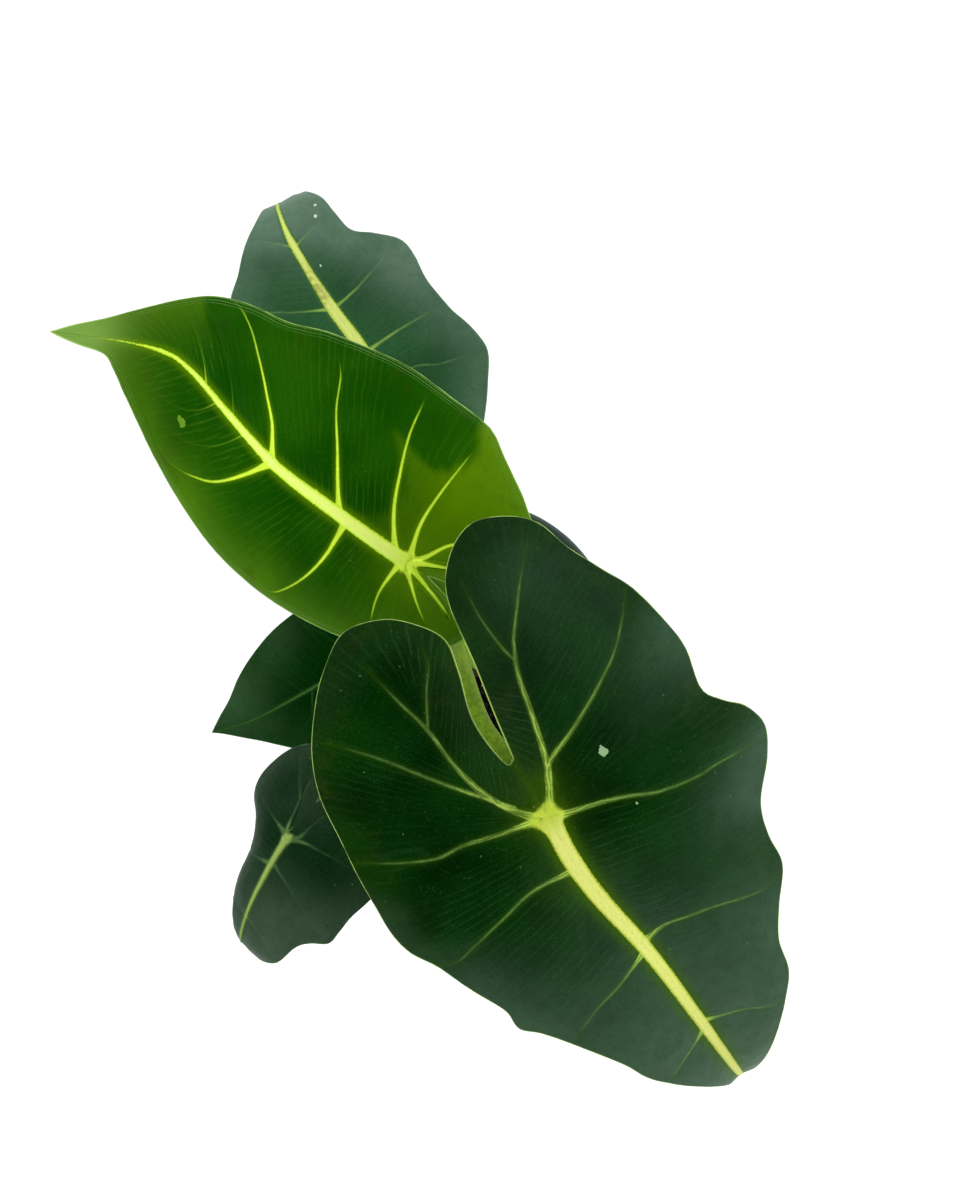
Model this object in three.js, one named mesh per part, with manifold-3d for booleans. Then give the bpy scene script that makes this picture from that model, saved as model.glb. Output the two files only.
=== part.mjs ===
// Alocasia Frydek: a potted aroid with five arrow-shaped leaves on arching stalks.
// Millimetres, +Z up, origin at the middle of the pot's flat base.
//
// A blade is drawn flat first. u runs along the midrib, 0 where the stalk joins it and
// positive towards the tip. v is the distance from the midrib, on the left or the right
// of someone who looks along it. The flat blade is then bent over a spine in space.

import * as THREE from 'three';
import { mergeVertices } from 'three/addons/utils/BufferGeometryUtils.js';
import Module from 'manifold-3d';

const wasm = await Module();
wasm.setup();

const gap = 0.3;               // clearance between pieces that touch
const radians = Math.PI / 180;

// ---- driving dimensions ----

const pot = {
  height: 115,
  rimRadius: 65,
  rimWidth: 5.6,               // rounded lip, seen from above
  rimRise: 2.2,                // its crown above the straight part
  rimArc: 6,                   // facets round the lip
  skirtDepth: 14,              // the lip turns down in a skirt
  skirtWall: 1.6,
  skirtTaper: 0.6,
  wall: 2,
  floor: 2.4,
  baseRadius: 47.5,
  baseChamfer: 1.5,
  drainRadius: 4.5,
  drainCircle: 36,
  drainSides: 12,
  drains: 6,
  sides: 40,
};

const soil = {
  level: 100,
  crown: 2,                    // the surface rises this much towards the plant
  shoulder: 40,                // radius where most of that rise begins
};

const corm = {
  radius: 17,
  top: 109,
  bottom: 86,
  sides: 24,
};

const stalk = {
  foot: 95,                    // height of the lower end, inside the stem base
  sides: 8,
  rings: 16,
  flare: 1.25,                 // sheathing foot, against the radius above it
  flareHeight: 45,
  trimBlock: 40,               // size of the block that trims a stalk under the midrib
};

const blade = {
  thickness: 0.7,
  ribRise: 0.12,               // midrib height above the blade, as a share of its width
  ribKeel: 0.42,               // and below it
  ribTaper: 0.8,               // share of the midrib's width lost at the tip
  basalWidth: 0.75,            // basal rib's width at the stalk, against the midrib's
  basalTaper: 0.5,             // and the share of the midrib's width that it loses
};

// Each half of a blade lists its margin from the bottom of the notch, round the lobe and
// along the side to the tip. rib is the basal rib that runs from the stalk into the lobe.
// inner and outer give, for a share of the basal rib, the margin point opposite it on the
// notch side and on the outer side. front does the same for a place u on the midrib, and
// its third number bows the side vein there towards the tip. fold is the angle at which
// the half leaves the midrib, curl the degrees that it bends down per mm, wave the height,
// length and start of the ripple along its margin.
//
// rows counts the rows along a basal rib, fanned round the end of a lobe, fanned round the
// stalk and along the side, and then the steps in a row. path is the stalk's middle line
// from its foot to its top, and seat the depth of its upper end under the middle of the
// blade, where it lies a gap below the keel of the midrib.

const leaves = [
  {
    name: 'big_leaf',
    top: [26, -51, 330],
    heading: -56,
    roll: 0,
    pitch: [[-120, -6], [-50, -12], [0, -15], [60, -25], [115, -38], [150, -60], [172, -88],
      [195, -125]],
    sway: [[-95, 6], [-60, 5], [-25, 0.5], [0, -0.5], [15, -2.2], [32, -2], [60, 1], [85, 2],
      [155, 2.2], [200, 1]],
    rows: [8, 7, 5, 28, 5],
    ribWidth: 7.4,
    halfWidth: 78,
    colour: 0x16361c,
    left: {
      margin: [[-23.3, 0], [-26.5, 0.7], [-52, 2.4], [-78, 6], [-90, 14], [-95, 25], [-91, 36], [-83, 44],
        [-71, 48], [-59, 54], [-47, 61], [-32, 66.5], [-19, 69], [-5, 66], [3, 71], [10, 78], [20, 81],
        [31, 75], [42, 63], [53, 57.5], [65, 55], [77, 46], [90, 39], [105, 36], [117, 29], [130, 21],
        [144, 13], [158, 6], [174, 2.5], [190, 0]],
      rib: [[0, 0], [-16, 8.5], [-46, 14], [-56, 17]],
      inner: [[0, 0], [1, 3.2]],
      outer: [[1, 7.2], [0.31, 10], [0, 12]],
      front: [[0, 15.6, 2.4], [2, 16, 2.6], [57, 20, 0], [103, 24, -1.5], [190, 29, 0]],
      fold: [[-110, 4], [0, 10], [60, 12], [150, 14]],
      curl: [[-110, 0.35], [0, 0.45], [100, 0.5]],
      wave: [2.5, 60, 0],
    },
    right: {
      margin: [[-23.3, 0], [-24.2, 2.6], [-42, 5.5], [-58, 2.5], [-69, 1.2], [-79, 7], [-86, 15], [-89, 27],
        [-83, 38], [-75, 47], [-62, 57], [-48, 62], [-30, 62.5], [-12, 64], [3, 65], [14, 62.5], [24, 57],
        [38, 53], [50, 50], [60, 51], [67, 46], [80, 39], [97, 31], [110, 27], [122, 21], [137, 13],
        [152, 7], [170, 3], [190, 0]],
      rib: [[0, 0], [-13, 11], [-30, 17], [-50, 21]],
      inner: [[0, 0], [1, 4.4]],
      outer: [[1, 7.6], [0.42, 10], [0, 11.3]],
      front: [[0, 12.3, 3], [2, 12.7, 3], [19, 16, 0], [64, 20.7, 0], [109, 23.9, 0], [190, 28, 0]],
      fold: [[-110, 4], [0, 10], [60, 12], [150, 14]],
      curl: [[-110, 0.3], [0, 0.4], [100, 0.5]],
      wave: [2, 60, 30],
    },
    path: [[4.5, -8.4, 95], [1.5, -7, 140], [-4, -1, 190], [-6.5, 1.5, 232], [-3, -7, 268],
      [3, -22, 297], [10.5, -32, 314], [18, -42.4, 323.5], [26, -51, 330]],
    footRadius: 4.6,
    topRadius: 3.3,
    seat: 3.13,
  },
  {
    name: 'young_leaf',
    top: [-21, 32, 318],
    heading: 147.3,
    roll: 0,
    pitch: [[-60, 2], [0, -2], [60, -6], [110, -10], [150, -14]],
    sway: [[-30, 0], [0, 0], [32, -1.5], [55, -3.5], [78, -9.5], [97, -15], [108, -16], [125, -11],
      [148, -1], [160, 2]],
    rows: [5, 6, 3, 24, 5],
    ribWidth: 6.4,
    halfWidth: 52,
    colour: 0x2c5f12,
    left: {
      margin: [[-8, 0], [-14, 1.5], [-22, 4], [-29, 9], [-28, 15], [-21, 22], [-8, 30], [6, 35.5],
        [20, 38.5], [35, 40], [51, 39], [68, 37.5], [82, 35], [95, 31.5], [105, 26.5], [114, 19],
        [122, 11], [128, 6], [138, 3.5], [150, 0]],
      rib: [[0, 0], [-5, 3], [-14, 5], [-20, 8]],
      inner: [[0, 0], [1, 2.2]],
      outer: [[1, 3.8], [0.25, 5], [0, 5.3]],
      front: [[0, 6.1, 0], [3, 6.6, 0], [24, 8.9, 0], [58, 12.1, -2], [150, 19, 0]],
      fold: [[-60, -4], [0, -8], [150, 4]],
      curl: [[0, 0.6]],
      wave: [0.8, 50, 0],
    },
    right: {
      margin: [[-8, 0], [-14, 1.5], [-25, 3.5], [-38, 6], [-47, 13], [-46, 22], [-38, 29], [-28, 34],
        [-20, 40], [-9, 47], [1, 53], [17, 54], [34, 54], [50, 51], [63, 46], [76, 38], [88, 33],
        [100, 27], [112, 20], [123, 13.5], [133, 8], [143, 4], [150, 0]],
      rib: [[0, 0], [-6, 4], [-16, 9], [-26, 14]],
      inner: [[0, 0], [1, 2.8]],
      outer: [[1, 5.4], [0.2, 7.4], [0, 8]],
      front: [[0, 9.7, 0], [1, 10, 1], [6, 11.6, 2.5], [30, 13.7, 0], [58, 16.5, -3.5],
        [91, 18.3, -1], [150, 22, 0]],
      fold: [[-60, 8], [0, 14], [150, 16]],
      curl: [[0, 0.35]],
      wave: [0.8, 50, 20],
    },
    path: [[0, 0, 95], [2, 5, 150], [0.5, 12, 205], [-4.5, 19, 255], [-12, 25.3, 295],
      [-21, 32, 318]],
    footRadius: 3.9,
    topRadius: 2.9,
    seat: 2.79,
  },
  {
    name: 'back_leaf',
    top: [-31, 95, 255],
    heading: 119.3,
    roll: 0,
    pitch: [[-60, -4], [0, -6], [40, -10], [70, -22], [92, -50], [108, -88], [128, -130]],
    sway: [[0, 0], [24, 0], [41, 2], [73, 3], [91, 1.5], [104, 0]],
    rows: [5, 6, 2, 20, 4],
    ribWidth: 6,
    halfWidth: 42,
    colour: 0x2c4f33,
    left: {
      margin: [[-13, 0], [-20, 2], [-30, 5], [-35, 13], [-31, 23], [-21, 31], [-8, 38], [6, 40],
        [20, 37.5], [33, 36.5], [45, 36.5], [54, 35], [63, 30.5], [70, 24], [80, 17], [91, 9.5],
        [102, 5.5], [118, 2.5], [138, 0]],
      rib: [[0, 0], [-6, 7], [-15, 14], [-21, 18]],
      inner: [[0, 0], [1, 2.4]],
      outer: [[1, 4.6], [0, 6]],
      front: [[0, 6.4, 0], [4, 6.8, 0], [18, 8.2, 0], [41, 11, 0], [70, 14, 0], [138, 18, 0]],
      fold: [[-60, 4], [0, 9], [110, 12]],
      curl: [[0, 0.4]],
      wave: [1.6, 40, 0],
    },
    right: {
      margin: [[-13, 0], [-21, 1.5], [-30, 4], [-34, 12], [-32, 21], [-24, 28], [-14, 35], [-3, 41],
        [8, 40], [18, 36.5], [30, 35], [42, 37], [51, 36], [58, 29], [64, 22], [74, 20], [85, 18],
        [97, 13], [110, 8], [123, 4], [138, 0]],
      rib: [[0, 0], [-6, 7], [-15, 14], [-22, 18]],
      inner: [[0, 0], [1, 2.4]],
      outer: [[1, 4.4], [0, 6.2]],
      front: [[0, 6.8, 0], [5, 7.2, 0], [18, 9.2, 0], [40, 12, 0], [70, 15.4, 0], [138, 20, 0]],
      fold: [[-60, 4], [0, 9], [60, 8], [110, -2]],
      curl: [[0, 0.4]],
      wave: [1.6, 40, 20],
    },
    path: [[1.6, 9.3, 95], [5, 13, 135], [5, 24, 180], [-2, 43, 220], [-14, 68, 244], [-31, 95, 255]],
    footRadius: 4.3,
    topRadius: 2.7,
    seat: 2.62,
  },
  {
    name: 'low_leaf',
    top: [-71, -72, 235],
    heading: 246,
    roll: 10,
    pitch: [[-50, -4], [0, -8], [25, -14], [42, -34], [60, -86], [80, -128]],
    sway: [[-40, 11], [-18, 5], [0, 0], [24, -2.5], [37, -2.5], [54, -1]],
    rows: [4, 6, 2, 16, 4],
    ribWidth: 4,
    halfWidth: 40,
    colour: 0x1d3a22,
    left: {
      margin: [[-18, 0], [-26, 1.5], [-34, 4], [-40, 11], [-38, 20], [-30, 28], [-20, 34], [-8, 38.5],
        [4, 41], [16, 37.5], [24, 36], [29, 34.5], [32, 28], [36, 23.5], [46, 18.5], [55, 10], [64, 6],
        [76, 2.5], [90, 0]],
      rib: [[0, 0], [-8, 5], [-18, 10], [-25, 14]],
      inner: [[0, 0], [1, 2.4]],
      outer: [[1, 4.6], [0, 6.4]],
      front: [[0, 7.4, 0], [1, 7.6, 0], [12, 11, 0], [37, 14, 0], [90, 18, 0]],
      fold: [[0, 8], [60, 14]],
      curl: [[0, 0.5]],
      wave: [1.6, 34, 0],
    },
    right: {
      margin: [[-18, 0], [-26, 2], [-34, 6], [-38, 14], [-34, 22], [-27, 28], [-17, 32], [-9, 32],
        [-1, 29], [9, 26], [20, 24], [31, 21.5], [42, 17], [54, 11], [66, 6.5], [78, 3], [90, 0]],
      rib: [[0, 0], [-8, 3], [-15, 6], [-22, 10]],
      inner: [[0, 0], [1, 2.4]],
      outer: [[1, 4.3], [0, 6.4]],
      front: [[0, 7.3, 0], [1, 7.5, 0], [13, 9.8, 0], [37, 11.8, 0], [90, 16, 0]],
      fold: [[-30, -14], [15, -20], [60, -24]],
      curl: [[-30, 0.8], [-5, 1.2], [12, 2.6], [45, 3]],
      wave: [1.2, 34, 17],
    },
    path: [[-6.1, -7.3, 95], [-10, -14, 135], [-18, -28, 175], [-33, -44, 208], [-54.5, -53.5, 226],
      [-71, -72, 235]],
    footRadius: 4.2,
    topRadius: 2.4,
    seat: 2.63,
  },
  {
    name: 'side_leaf',
    top: [-40, -2, 210],
    heading: 205.7,
    roll: 0,
    pitch: [[-40, -4], [0, -14], [40, -26], [80, -34]],
    sway: [[0, 0], [48, 3], [67, 3], [88, 0.5]],
    rows: [4, 5, 2, 13, 4],
    ribWidth: 4,
    halfWidth: 32,
    colour: 0x1b3d20,
    left: {
      margin: [[-12, 0], [-17, 2], [-22, 6], [-24, 13], [-20, 21], [-10, 27.5], [2, 31], [18, 30],
        [32, 27], [44, 21.5], [54, 15], [64, 9], [74, 4.5], [81, 1.8], [87, 0]],
      rib: [[0, 0], [-5, 3.5], [-10, 7], [-15, 10.5]],
      inner: [[0, 0], [1, 2.2]],
      outer: [[1, 4], [0, 5.3]],
      front: [[0, 5.7, 0], [2, 6, 0], [24, 8.3, 0], [48, 10.6, 0], [87, 14, 0]],
      fold: [[0, 6], [95, 10]],
      curl: [[0, 0.4]],
      wave: [0.8, 34, 0],
    },
    right: {
      margin: [[-12, 0], [-17, 2], [-22, 6], [-24, 13], [-20, 21], [-9, 27.5], [6, 30.5], [22, 30],
        [36, 28], [48, 24], [59, 18.5], [69, 11.5], [78, 6], [87, 0]],
      rib: [[0, 0], [-5, 3.5], [-10, 7], [-15, 10.5]],
      inner: [[0, 0], [1, 2.2]],
      outer: [[1, 4], [0, 5.3]],
      front: [[0, 5.7, 0], [2, 6, 0], [24, 8, 0], [48, 10, 0], [87, 13, 0]],
      fold: [[0, 6], [95, 10]],
      curl: [[0, 0.4]],
      wave: [0.8, 34, 17],
    },
    path: [[-9.4, 1.6, 95], [-12, 1, 135], [-18, 0, 170], [-28, -1, 196], [-40, -2, 210]],
    footRadius: 4,
    topRadius: 2.2,
    seat: 2.02,
  },
];

// ---- curves ----

// Smooth value at x of a table of [x, value] rows, held level past its ends.
function smooth(table, x) {
  const last = table.length - 1;
  if (last === 0 || x <= table[0][0]) return table[0][1];
  if (x >= table[last][0]) return table[last][1];
  let i = 0;
  while (x >= table[i + 1][0]) i += 1;
  const slope = (k) => {
    const a = table[Math.max(k - 1, 0)];
    const b = table[Math.min(k + 1, last)];
    return (b[1] - a[1]) / (b[0] - a[0]);
  };
  const width = table[i + 1][0] - table[i][0];
  const s = (x - table[i][0]) / width;
  return (2 * s ** 3 - 3 * s ** 2 + 1) * table[i][1] + (s ** 3 - 2 * s ** 2 + s) * width * slope(i)
    + (3 * s ** 2 - 2 * s ** 3) * table[i + 1][1] + (s ** 3 - s ** 2) * width * slope(i + 1);
}

// Straight-line value at x in a table whose first column rises or falls.
function linear(table, x, column = 1) {
  const way = Math.sign(table[table.length - 1][0] - table[0][0]);
  let i = 0;
  while (i < table.length - 2 && way * x > way * table[i + 1][0]) i += 1;
  const s = (x - table[i][0]) / (table[i + 1][0] - table[i][0]);
  return table[i][column] + s * (table[i + 1][column] - table[i][column]);
}

// Point of the smooth curve through points, at index t.
function spline(points, t) {
  const last = points.length - 1;
  const i = Math.min(Math.floor(t), last - 1);
  const s = t - i;
  const [a, b, c, d] = [-1, 0, 1, 2].map((step) => points[Math.min(Math.max(i + step, 0), last)]);
  return b.map((_, k) => b[k] + 0.5 * s * (c[k] - a[k]
    + s * (2 * a[k] - 5 * b[k] + 4 * c[k] - d[k] + s * (3 * (b[k] - c[k]) + d[k] - a[k]))));
}

// ---- the bent blade ----

function direction(leaf, u) {
  const pitch = smooth(leaf.pitch, u) * radians;
  const heading = leaf.heading * radians;
  const level = Math.cos(pitch);
  return new THREE.Vector3(level * Math.cos(heading), level * Math.sin(heading), Math.sin(pitch));
}

// Tangent, side and up directions of the blade at u.
function bladeFrame(leaf, u) {
  const along = direction(leaf, u);
  const heading = leaf.heading * radians;
  const level = new THREE.Vector3(-Math.sin(heading), Math.cos(heading), 0);
  const side = level.clone().applyAxisAngle(along, leaf.roll * radians);
  const up = new THREE.Vector3().crossVectors(along, side);
  return { along, side, up };
}

// The spine is summed in 1 mm steps from the stalk, forwards and backwards.
function spinePoint(leaf, u) {
  const point = new THREE.Vector3(...leaf.top);
  const steps = Math.max(1, Math.ceil(Math.abs(u)));
  for (let i = 0; i < steps; i += 1) {
    point.addScaledVector(direction(leaf, (u * (i + 0.5)) / steps), u / steps);
  }
  return point;
}

// Place in space of the flat point (u, v) of one half.
function place(leaf, side, u, v) {
  const half = side > 0 ? leaf.left : leaf.right;
  const axes = bladeFrame(leaf, u);
  const fold = smooth(half.fold, u) * radians;
  const curl = smooth(half.curl, u) * radians;
  const [height, length, start] = half.wave;
  const reach = Math.min(v / leaf.halfWidth, 1.2);
  const ripple = height * reach ** 3 * Math.sin((2 * Math.PI * (u - start)) / length);
  const out = (Math.sin(fold) - Math.sin(fold - curl * v)) / curl;
  const rise = (Math.cos(fold - curl * v) - Math.cos(fold)) / curl + ripple;
  return spinePoint(leaf, u)
    .addScaledVector(axes.side, smooth(leaf.sway, u) + side * out)
    .addScaledVector(axes.up, rise);
}

// Width of the midrib at u, or of the basal rib at a share of its length.
const midribWidth = (leaf, u, tip) => leaf.ribWidth * (1 - blade.ribTaper * Math.min(u / tip, 1));
const basalWidth = (leaf, share) => leaf.ribWidth * (blade.basalWidth - blade.basalTaper * share);

// Rows that run from a rib to the margin, all round one half.
function halfRows(leaf, half) {
  const ribEnd = half.rib.length - 1;
  const tip = half.margin[half.margin.length - 1][0];
  const [ribRows, fanRows, turnRows, frontRows] = leaf.rows;
  const rows = [];
  const add = (anchor, index, bow, width) => {
    rows.push({ anchor, edge: spline(half.margin, index), bow, width });
  };
  const onRib = (share, index) => {
    add(spline(half.rib, share * ribEnd), index, 0, basalWidth(leaf, share));
  };
  const fan = (share, from, to, count) => {
    for (let i = 1; i < count; i += 1) onRib(share, from + ((to - from) * i) / count);
  };
  for (let i = 0; i <= ribRows; i += 1) onRib(i / ribRows, linear(half.inner, i / ribRows));
  fan(1, linear(half.inner, 1), linear(half.outer, 1), fanRows);
  for (let i = ribRows; i >= 0; i -= 1) onRib(i / ribRows, linear(half.outer, i / ribRows));
  fan(0, linear(half.outer, 0), linear(half.front, 0), turnRows);
  for (let i = 0; i <= frontRows; i += 1) {
    const u = (tip * i) / frontRows;
    add([u, 0], linear(half.front, u), linear(half.front, u, 2), midribWidth(leaf, u, tip));
  }
  return rows;
}

// Triangles of the whole flat blade, with their places in space and the rib width there.
function bladeSheet(leaf) {
  const sheet = { points: [], ribs: [], faces: [] };
  const steps = leaf.rows[4];
  const known = new Map();
  const vertex = (side, u, v, rib) => {
    const key = `${Math.round(u * 1000)} ${Math.round(side * v * 1000)}`;
    if (!known.has(key)) {
      known.set(key, sheet.points.length);
      sheet.points.push(place(leaf, side, u, v));
      sheet.ribs.push(rib);
    }
    return known.get(key);
  };
  for (const side of [1, -1]) {
    const rows = halfRows(leaf, side > 0 ? leaf.left : leaf.right);
    const grid = rows.map(({ anchor, edge, bow, width }) => {
      const reach = Math.hypot(edge[0] - anchor[0], edge[1] - anchor[1]);
      const ribShare = Math.min(width / 2 / Math.max(reach, 0.01), 0.5);
      const levels = Array.from({ length: steps + 1 }, (_, k) => k / steps);
      const shares = [0, ...levels.map((level) => ribShare + (1 - ribShare) * level)];
      return shares.map((s) => vertex(
        side,
        anchor[0] + s * (edge[0] - anchor[0]) + bow * 4 * s * (1 - s),
        anchor[1] + s * (edge[1] - anchor[1]),
        s === 0 ? width : 0,
      ));
    });
    for (let i = 0; i + 1 < grid.length; i += 1) {
      for (let j = 0; j + 1 < grid[i].length; j += 1) {
        const [a, b, c, d] = [grid[i][j], grid[i][j + 1], grid[i + 1][j + 1], grid[i + 1][j]];
        const pair = side > 0 ? [[a, c, b], [a, d, c]] : [[a, b, c], [a, c, d]];
        for (const face of pair) {
          if (new Set(face).size === 3) sheet.faces.push(face);
        }
      }
    }
  }
  return sheet;
}

function sheetNormals(sheet) {
  const normals = sheet.points.map(() => new THREE.Vector3());
  for (const [a, b, c] of sheet.faces) {
    const p = sheet.points[a];
    const normal = sheet.points[b].clone().sub(p).cross(sheet.points[c].clone().sub(p));
    for (const k of [a, b, c]) normals[k].add(normal);
  }
  return normals.map((normal) => normal.normalize());
}

function solidGeometry(points, faces) {
  const geometry = new THREE.BufferGeometry();
  const numbers = points.flatMap((point) => point.toArray());
  geometry.setAttribute('position', new THREE.Float32BufferAttribute(numbers, 3));
  geometry.setIndex(faces.flat());
  return geometry;
}

// The sheet gets its thickness: upper and lower faces alike, and a wall round the margin.
function bladeGeometry(leaf) {
  const sheet = bladeSheet(leaf);
  const normals = sheetNormals(sheet);
  const count = sheet.points.length;
  const half = blade.thickness / 2;
  const offset = (heights) => sheet.points.map((p, i) => p.clone().addScaledVector(normals[i], heights[i]));
  const upper = offset(sheet.ribs.map((width) => half + blade.ribRise * width));
  const lower = offset(sheet.ribs.map((width) => -half - blade.ribKeel * width));
  const faces = sheet.faces.flatMap(([a, b, c]) => [[a, b, c], [a + count, c + count, b + count]]);
  const edges = new Set(sheet.faces.flatMap(([a, b, c]) => [`${a} ${b}`, `${b} ${c}`, `${c} ${a}`]));
  for (const edge of edges) {
    const [a, b] = edge.split(' ').map(Number);
    if (!edges.has(`${b} ${a}`)) faces.push([a, a + count, b + count], [a, b + count, b]);
  }
  return solidGeometry([...upper, ...lower], faces);
}

// ---- solids and cuts ----

function toManifold(geometry) {
  const plain = geometry.clone();
  for (const name of ['normal', 'uv']) plain.deleteAttribute(name);
  const merged = mergeVertices(plain, 1e-4);
  const index = Array.from(merged.index.array);
  const kept = [];
  for (let i = 0; i < index.length; i += 3) {
    const [a, b, c] = index.slice(i, i + 3);
    if (a !== b && b !== c && c !== a) kept.push(a, b, c);
  }
  return new wasm.Manifold(new wasm.Mesh({
    numProp: 3,
    vertProperties: Float32Array.from(merged.getAttribute('position').array),
    triVerts: Uint32Array.from(kept),
  }));
}

function fromManifold(solid) {
  const mesh = solid.getMesh();
  const geometry = new THREE.BufferGeometry();
  geometry.setAttribute('position', new THREE.BufferAttribute(Float32Array.from(mesh.vertProperties), 3));
  geometry.setIndex(Array.from(mesh.triVerts));
  return geometry;
}

// A closed profile of [radius, height] points turned about the pot's axis.
function turned(profile, sides) {
  const points = [...profile, profile[0]].map(([radius, height]) => new THREE.Vector2(radius, height));
  const geometry = new THREE.LatheGeometry(points, sides);
  geometry.rotateX(Math.PI / 2);
  return geometry;
}

// A tapered stalk: rings of points across a smooth path. extra widens and lengthens it.
function stalkGeometry(leaf, extra = 0) {
  const heading = leaf.heading * radians;
  const across = new THREE.Vector3(-Math.sin(heading), Math.cos(heading), 0);
  const end = leaf.path.length - 1;
  const near = 0.02;
  const points = [];
  const faces = [];
  for (let i = 0; i <= stalk.rings; i += 1) {
    const share = i / stalk.rings;
    const centre = new THREE.Vector3(...spline(leaf.path, share * end));
    const ahead = new THREE.Vector3(...spline(leaf.path, Math.min(share * end + near, end)));
    const behind = new THREE.Vector3(...spline(leaf.path, Math.max(share * end - near, 0)));
    const along = ahead.sub(behind).normalize();
    if (i === 0) centre.addScaledVector(along, -extra);
    const normal = new THREE.Vector3().crossVectors(along, across).normalize();
    const binormal = new THREE.Vector3().crossVectors(along, normal);
    const foot = Math.max(0, 1 - (centre.z - stalk.foot) / stalk.flareHeight);
    const taper = leaf.footRadius + (leaf.topRadius - leaf.footRadius) * share;
    const radius = taper * (1 - (1 - 1 / stalk.flare) * (1 - foot) * (1 - share)) + extra;
    for (let k = 0; k < stalk.sides; k += 1) {
      const angle = (2 * Math.PI * k) / stalk.sides;
      points.push(centre.clone()
        .addScaledVector(normal, radius * Math.cos(angle))
        .addScaledVector(binormal, radius * Math.sin(angle)));
    }
  }
  for (let i = 0; i < stalk.rings; i += 1) {
    for (let k = 0; k < stalk.sides; k += 1) {
      const [a, b] = [i * stalk.sides + k, i * stalk.sides + ((k + 1) % stalk.sides)];
      faces.push([a, b, b + stalk.sides], [a, b + stalk.sides, a + stalk.sides]);
    }
  }
  const top = stalk.rings * stalk.sides;
  for (let k = 1; k + 1 < stalk.sides; k += 1) {
    faces.push([0, k + 1, k], [top, top + k, top + k + 1]);
  }
  return solidGeometry(points, faces);
}

// A block that trims the stalk off, at its seat's depth under the middle of the blade.
function trimBlock(leaf) {
  const size = stalk.trimBlock;
  const { along, side, up } = bladeFrame(leaf, 0);
  const block = new THREE.BoxGeometry(size, size, size);
  block.translate(0, 0, size / 2 - leaf.seat);
  block.applyMatrix4(new THREE.Matrix4().makeBasis(along, side, up));
  return block.translate(...leaf.top);
}

// ---- pot, soil and stem base ----

const innerRadius = pot.rimRadius - pot.rimWidth;
const slope = (innerRadius + pot.wall - pot.baseRadius) / pot.height;
const outerAt = (z) => pot.baseRadius + slope * z;
const innerAt = (z) => outerAt(z) - pot.wall;

function potGeometry() {
  const lip = pot.rimWidth / 2;
  const shoulder = pot.height - pot.rimRise;
  const top = [];
  for (let i = 0; i <= pot.rimArc; i += 1) {
    const angle = (Math.PI * i) / pot.rimArc;
    top.push([pot.rimRadius - lip + lip * Math.cos(angle), shoulder + pot.rimRise * Math.sin(angle)]);
  }
  const skirtEnd = pot.height - pot.skirtDepth;
  const grooveTop = shoulder - 1;
  const skirtInner = pot.rimRadius - pot.skirtWall;
  const profile = [
    [0, 0], [pot.baseRadius - pot.baseChamfer, 0], [pot.baseRadius, pot.baseChamfer],
    [outerAt(skirtEnd), skirtEnd], [outerAt(grooveTop), grooveTop], [skirtInner, grooveTop],
    [skirtInner - pot.skirtTaper, skirtEnd], [pot.rimRadius - pot.skirtTaper, skirtEnd],
    ...top,
    [innerAt(soil.level), soil.level], [innerAt(pot.floor), pot.floor], [0, pot.floor],
  ];
  let solid = toManifold(turned(profile, pot.sides));
  const { drainRadius, drainCircle, drainSides } = pot;
  for (let i = 0; i < pot.drains; i += 1) {
    const hole = new THREE.CylinderGeometry(drainRadius, drainRadius, 3 * pot.floor, drainSides);
    hole.rotateX(Math.PI / 2);
    const angle = (2 * Math.PI * i) / pot.drains;
    hole.translate(drainCircle * Math.cos(angle), drainCircle * Math.sin(angle), pot.floor / 2);
    solid = solid.subtract(toManifold(hole));
  }
  return fromManifold(solid);
}

function soilGeometry() {
  const inset = gap * 1.1;
  const floor = pot.floor + gap;
  const hole = corm.radius + gap;
  const bottom = corm.bottom - gap;
  const profile = [
    [0, floor], [innerAt(floor) - inset, floor], [innerAt(soil.level) - inset, soil.level],
    [soil.shoulder, soil.level + soil.crown * 0.6], [hole, soil.level + soil.crown],
    [hole, bottom], [0, bottom],
  ];
  return fromManifold(toManifold(turned(profile, pot.sides)));
}

function cormGeometry() {
  const { radius, top, bottom } = corm;
  const profile = [
    [0, bottom], [radius * 0.7, bottom], [radius * 0.95, bottom + 6], [radius, bottom + 12],
    [radius * 0.95, top - 6], [radius * 0.75, top - 2], [radius * 0.4, top], [0, top],
  ];
  let solid = toManifold(turned(profile, corm.sides));
  for (const leaf of leaves) solid = solid.subtract(toManifold(stalkGeometry(leaf, gap)));
  return fromManifold(solid);
}

// ---- assembly ----

const group = new THREE.Group();

function addPiece(name, geometry, colour, roughness) {
  const material = new THREE.MeshStandardMaterial({ color: colour, roughness, metalness: 0 });
  const mesh = new THREE.Mesh(geometry, material);
  mesh.name = name;
  group.add(mesh);
}

addPiece('pot', potGeometry(), 0x3d4540, 0.4);
addPiece('soil', soilGeometry(), 0x1c1712, 1);
addPiece('stem_base', cormGeometry(), 0x5a6b35, 0.7);
for (const leaf of leaves) {
  const trimmed = toManifold(stalkGeometry(leaf)).subtract(toManifold(trimBlock(leaf)));
  addPiece(leaf.name.replace('leaf', 'stalk'), fromManifold(trimmed), 0x6d8a3a, 0.55);
  addPiece(leaf.name, bladeGeometry(leaf), leaf.colour, 0.7);
}

export default group;
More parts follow.
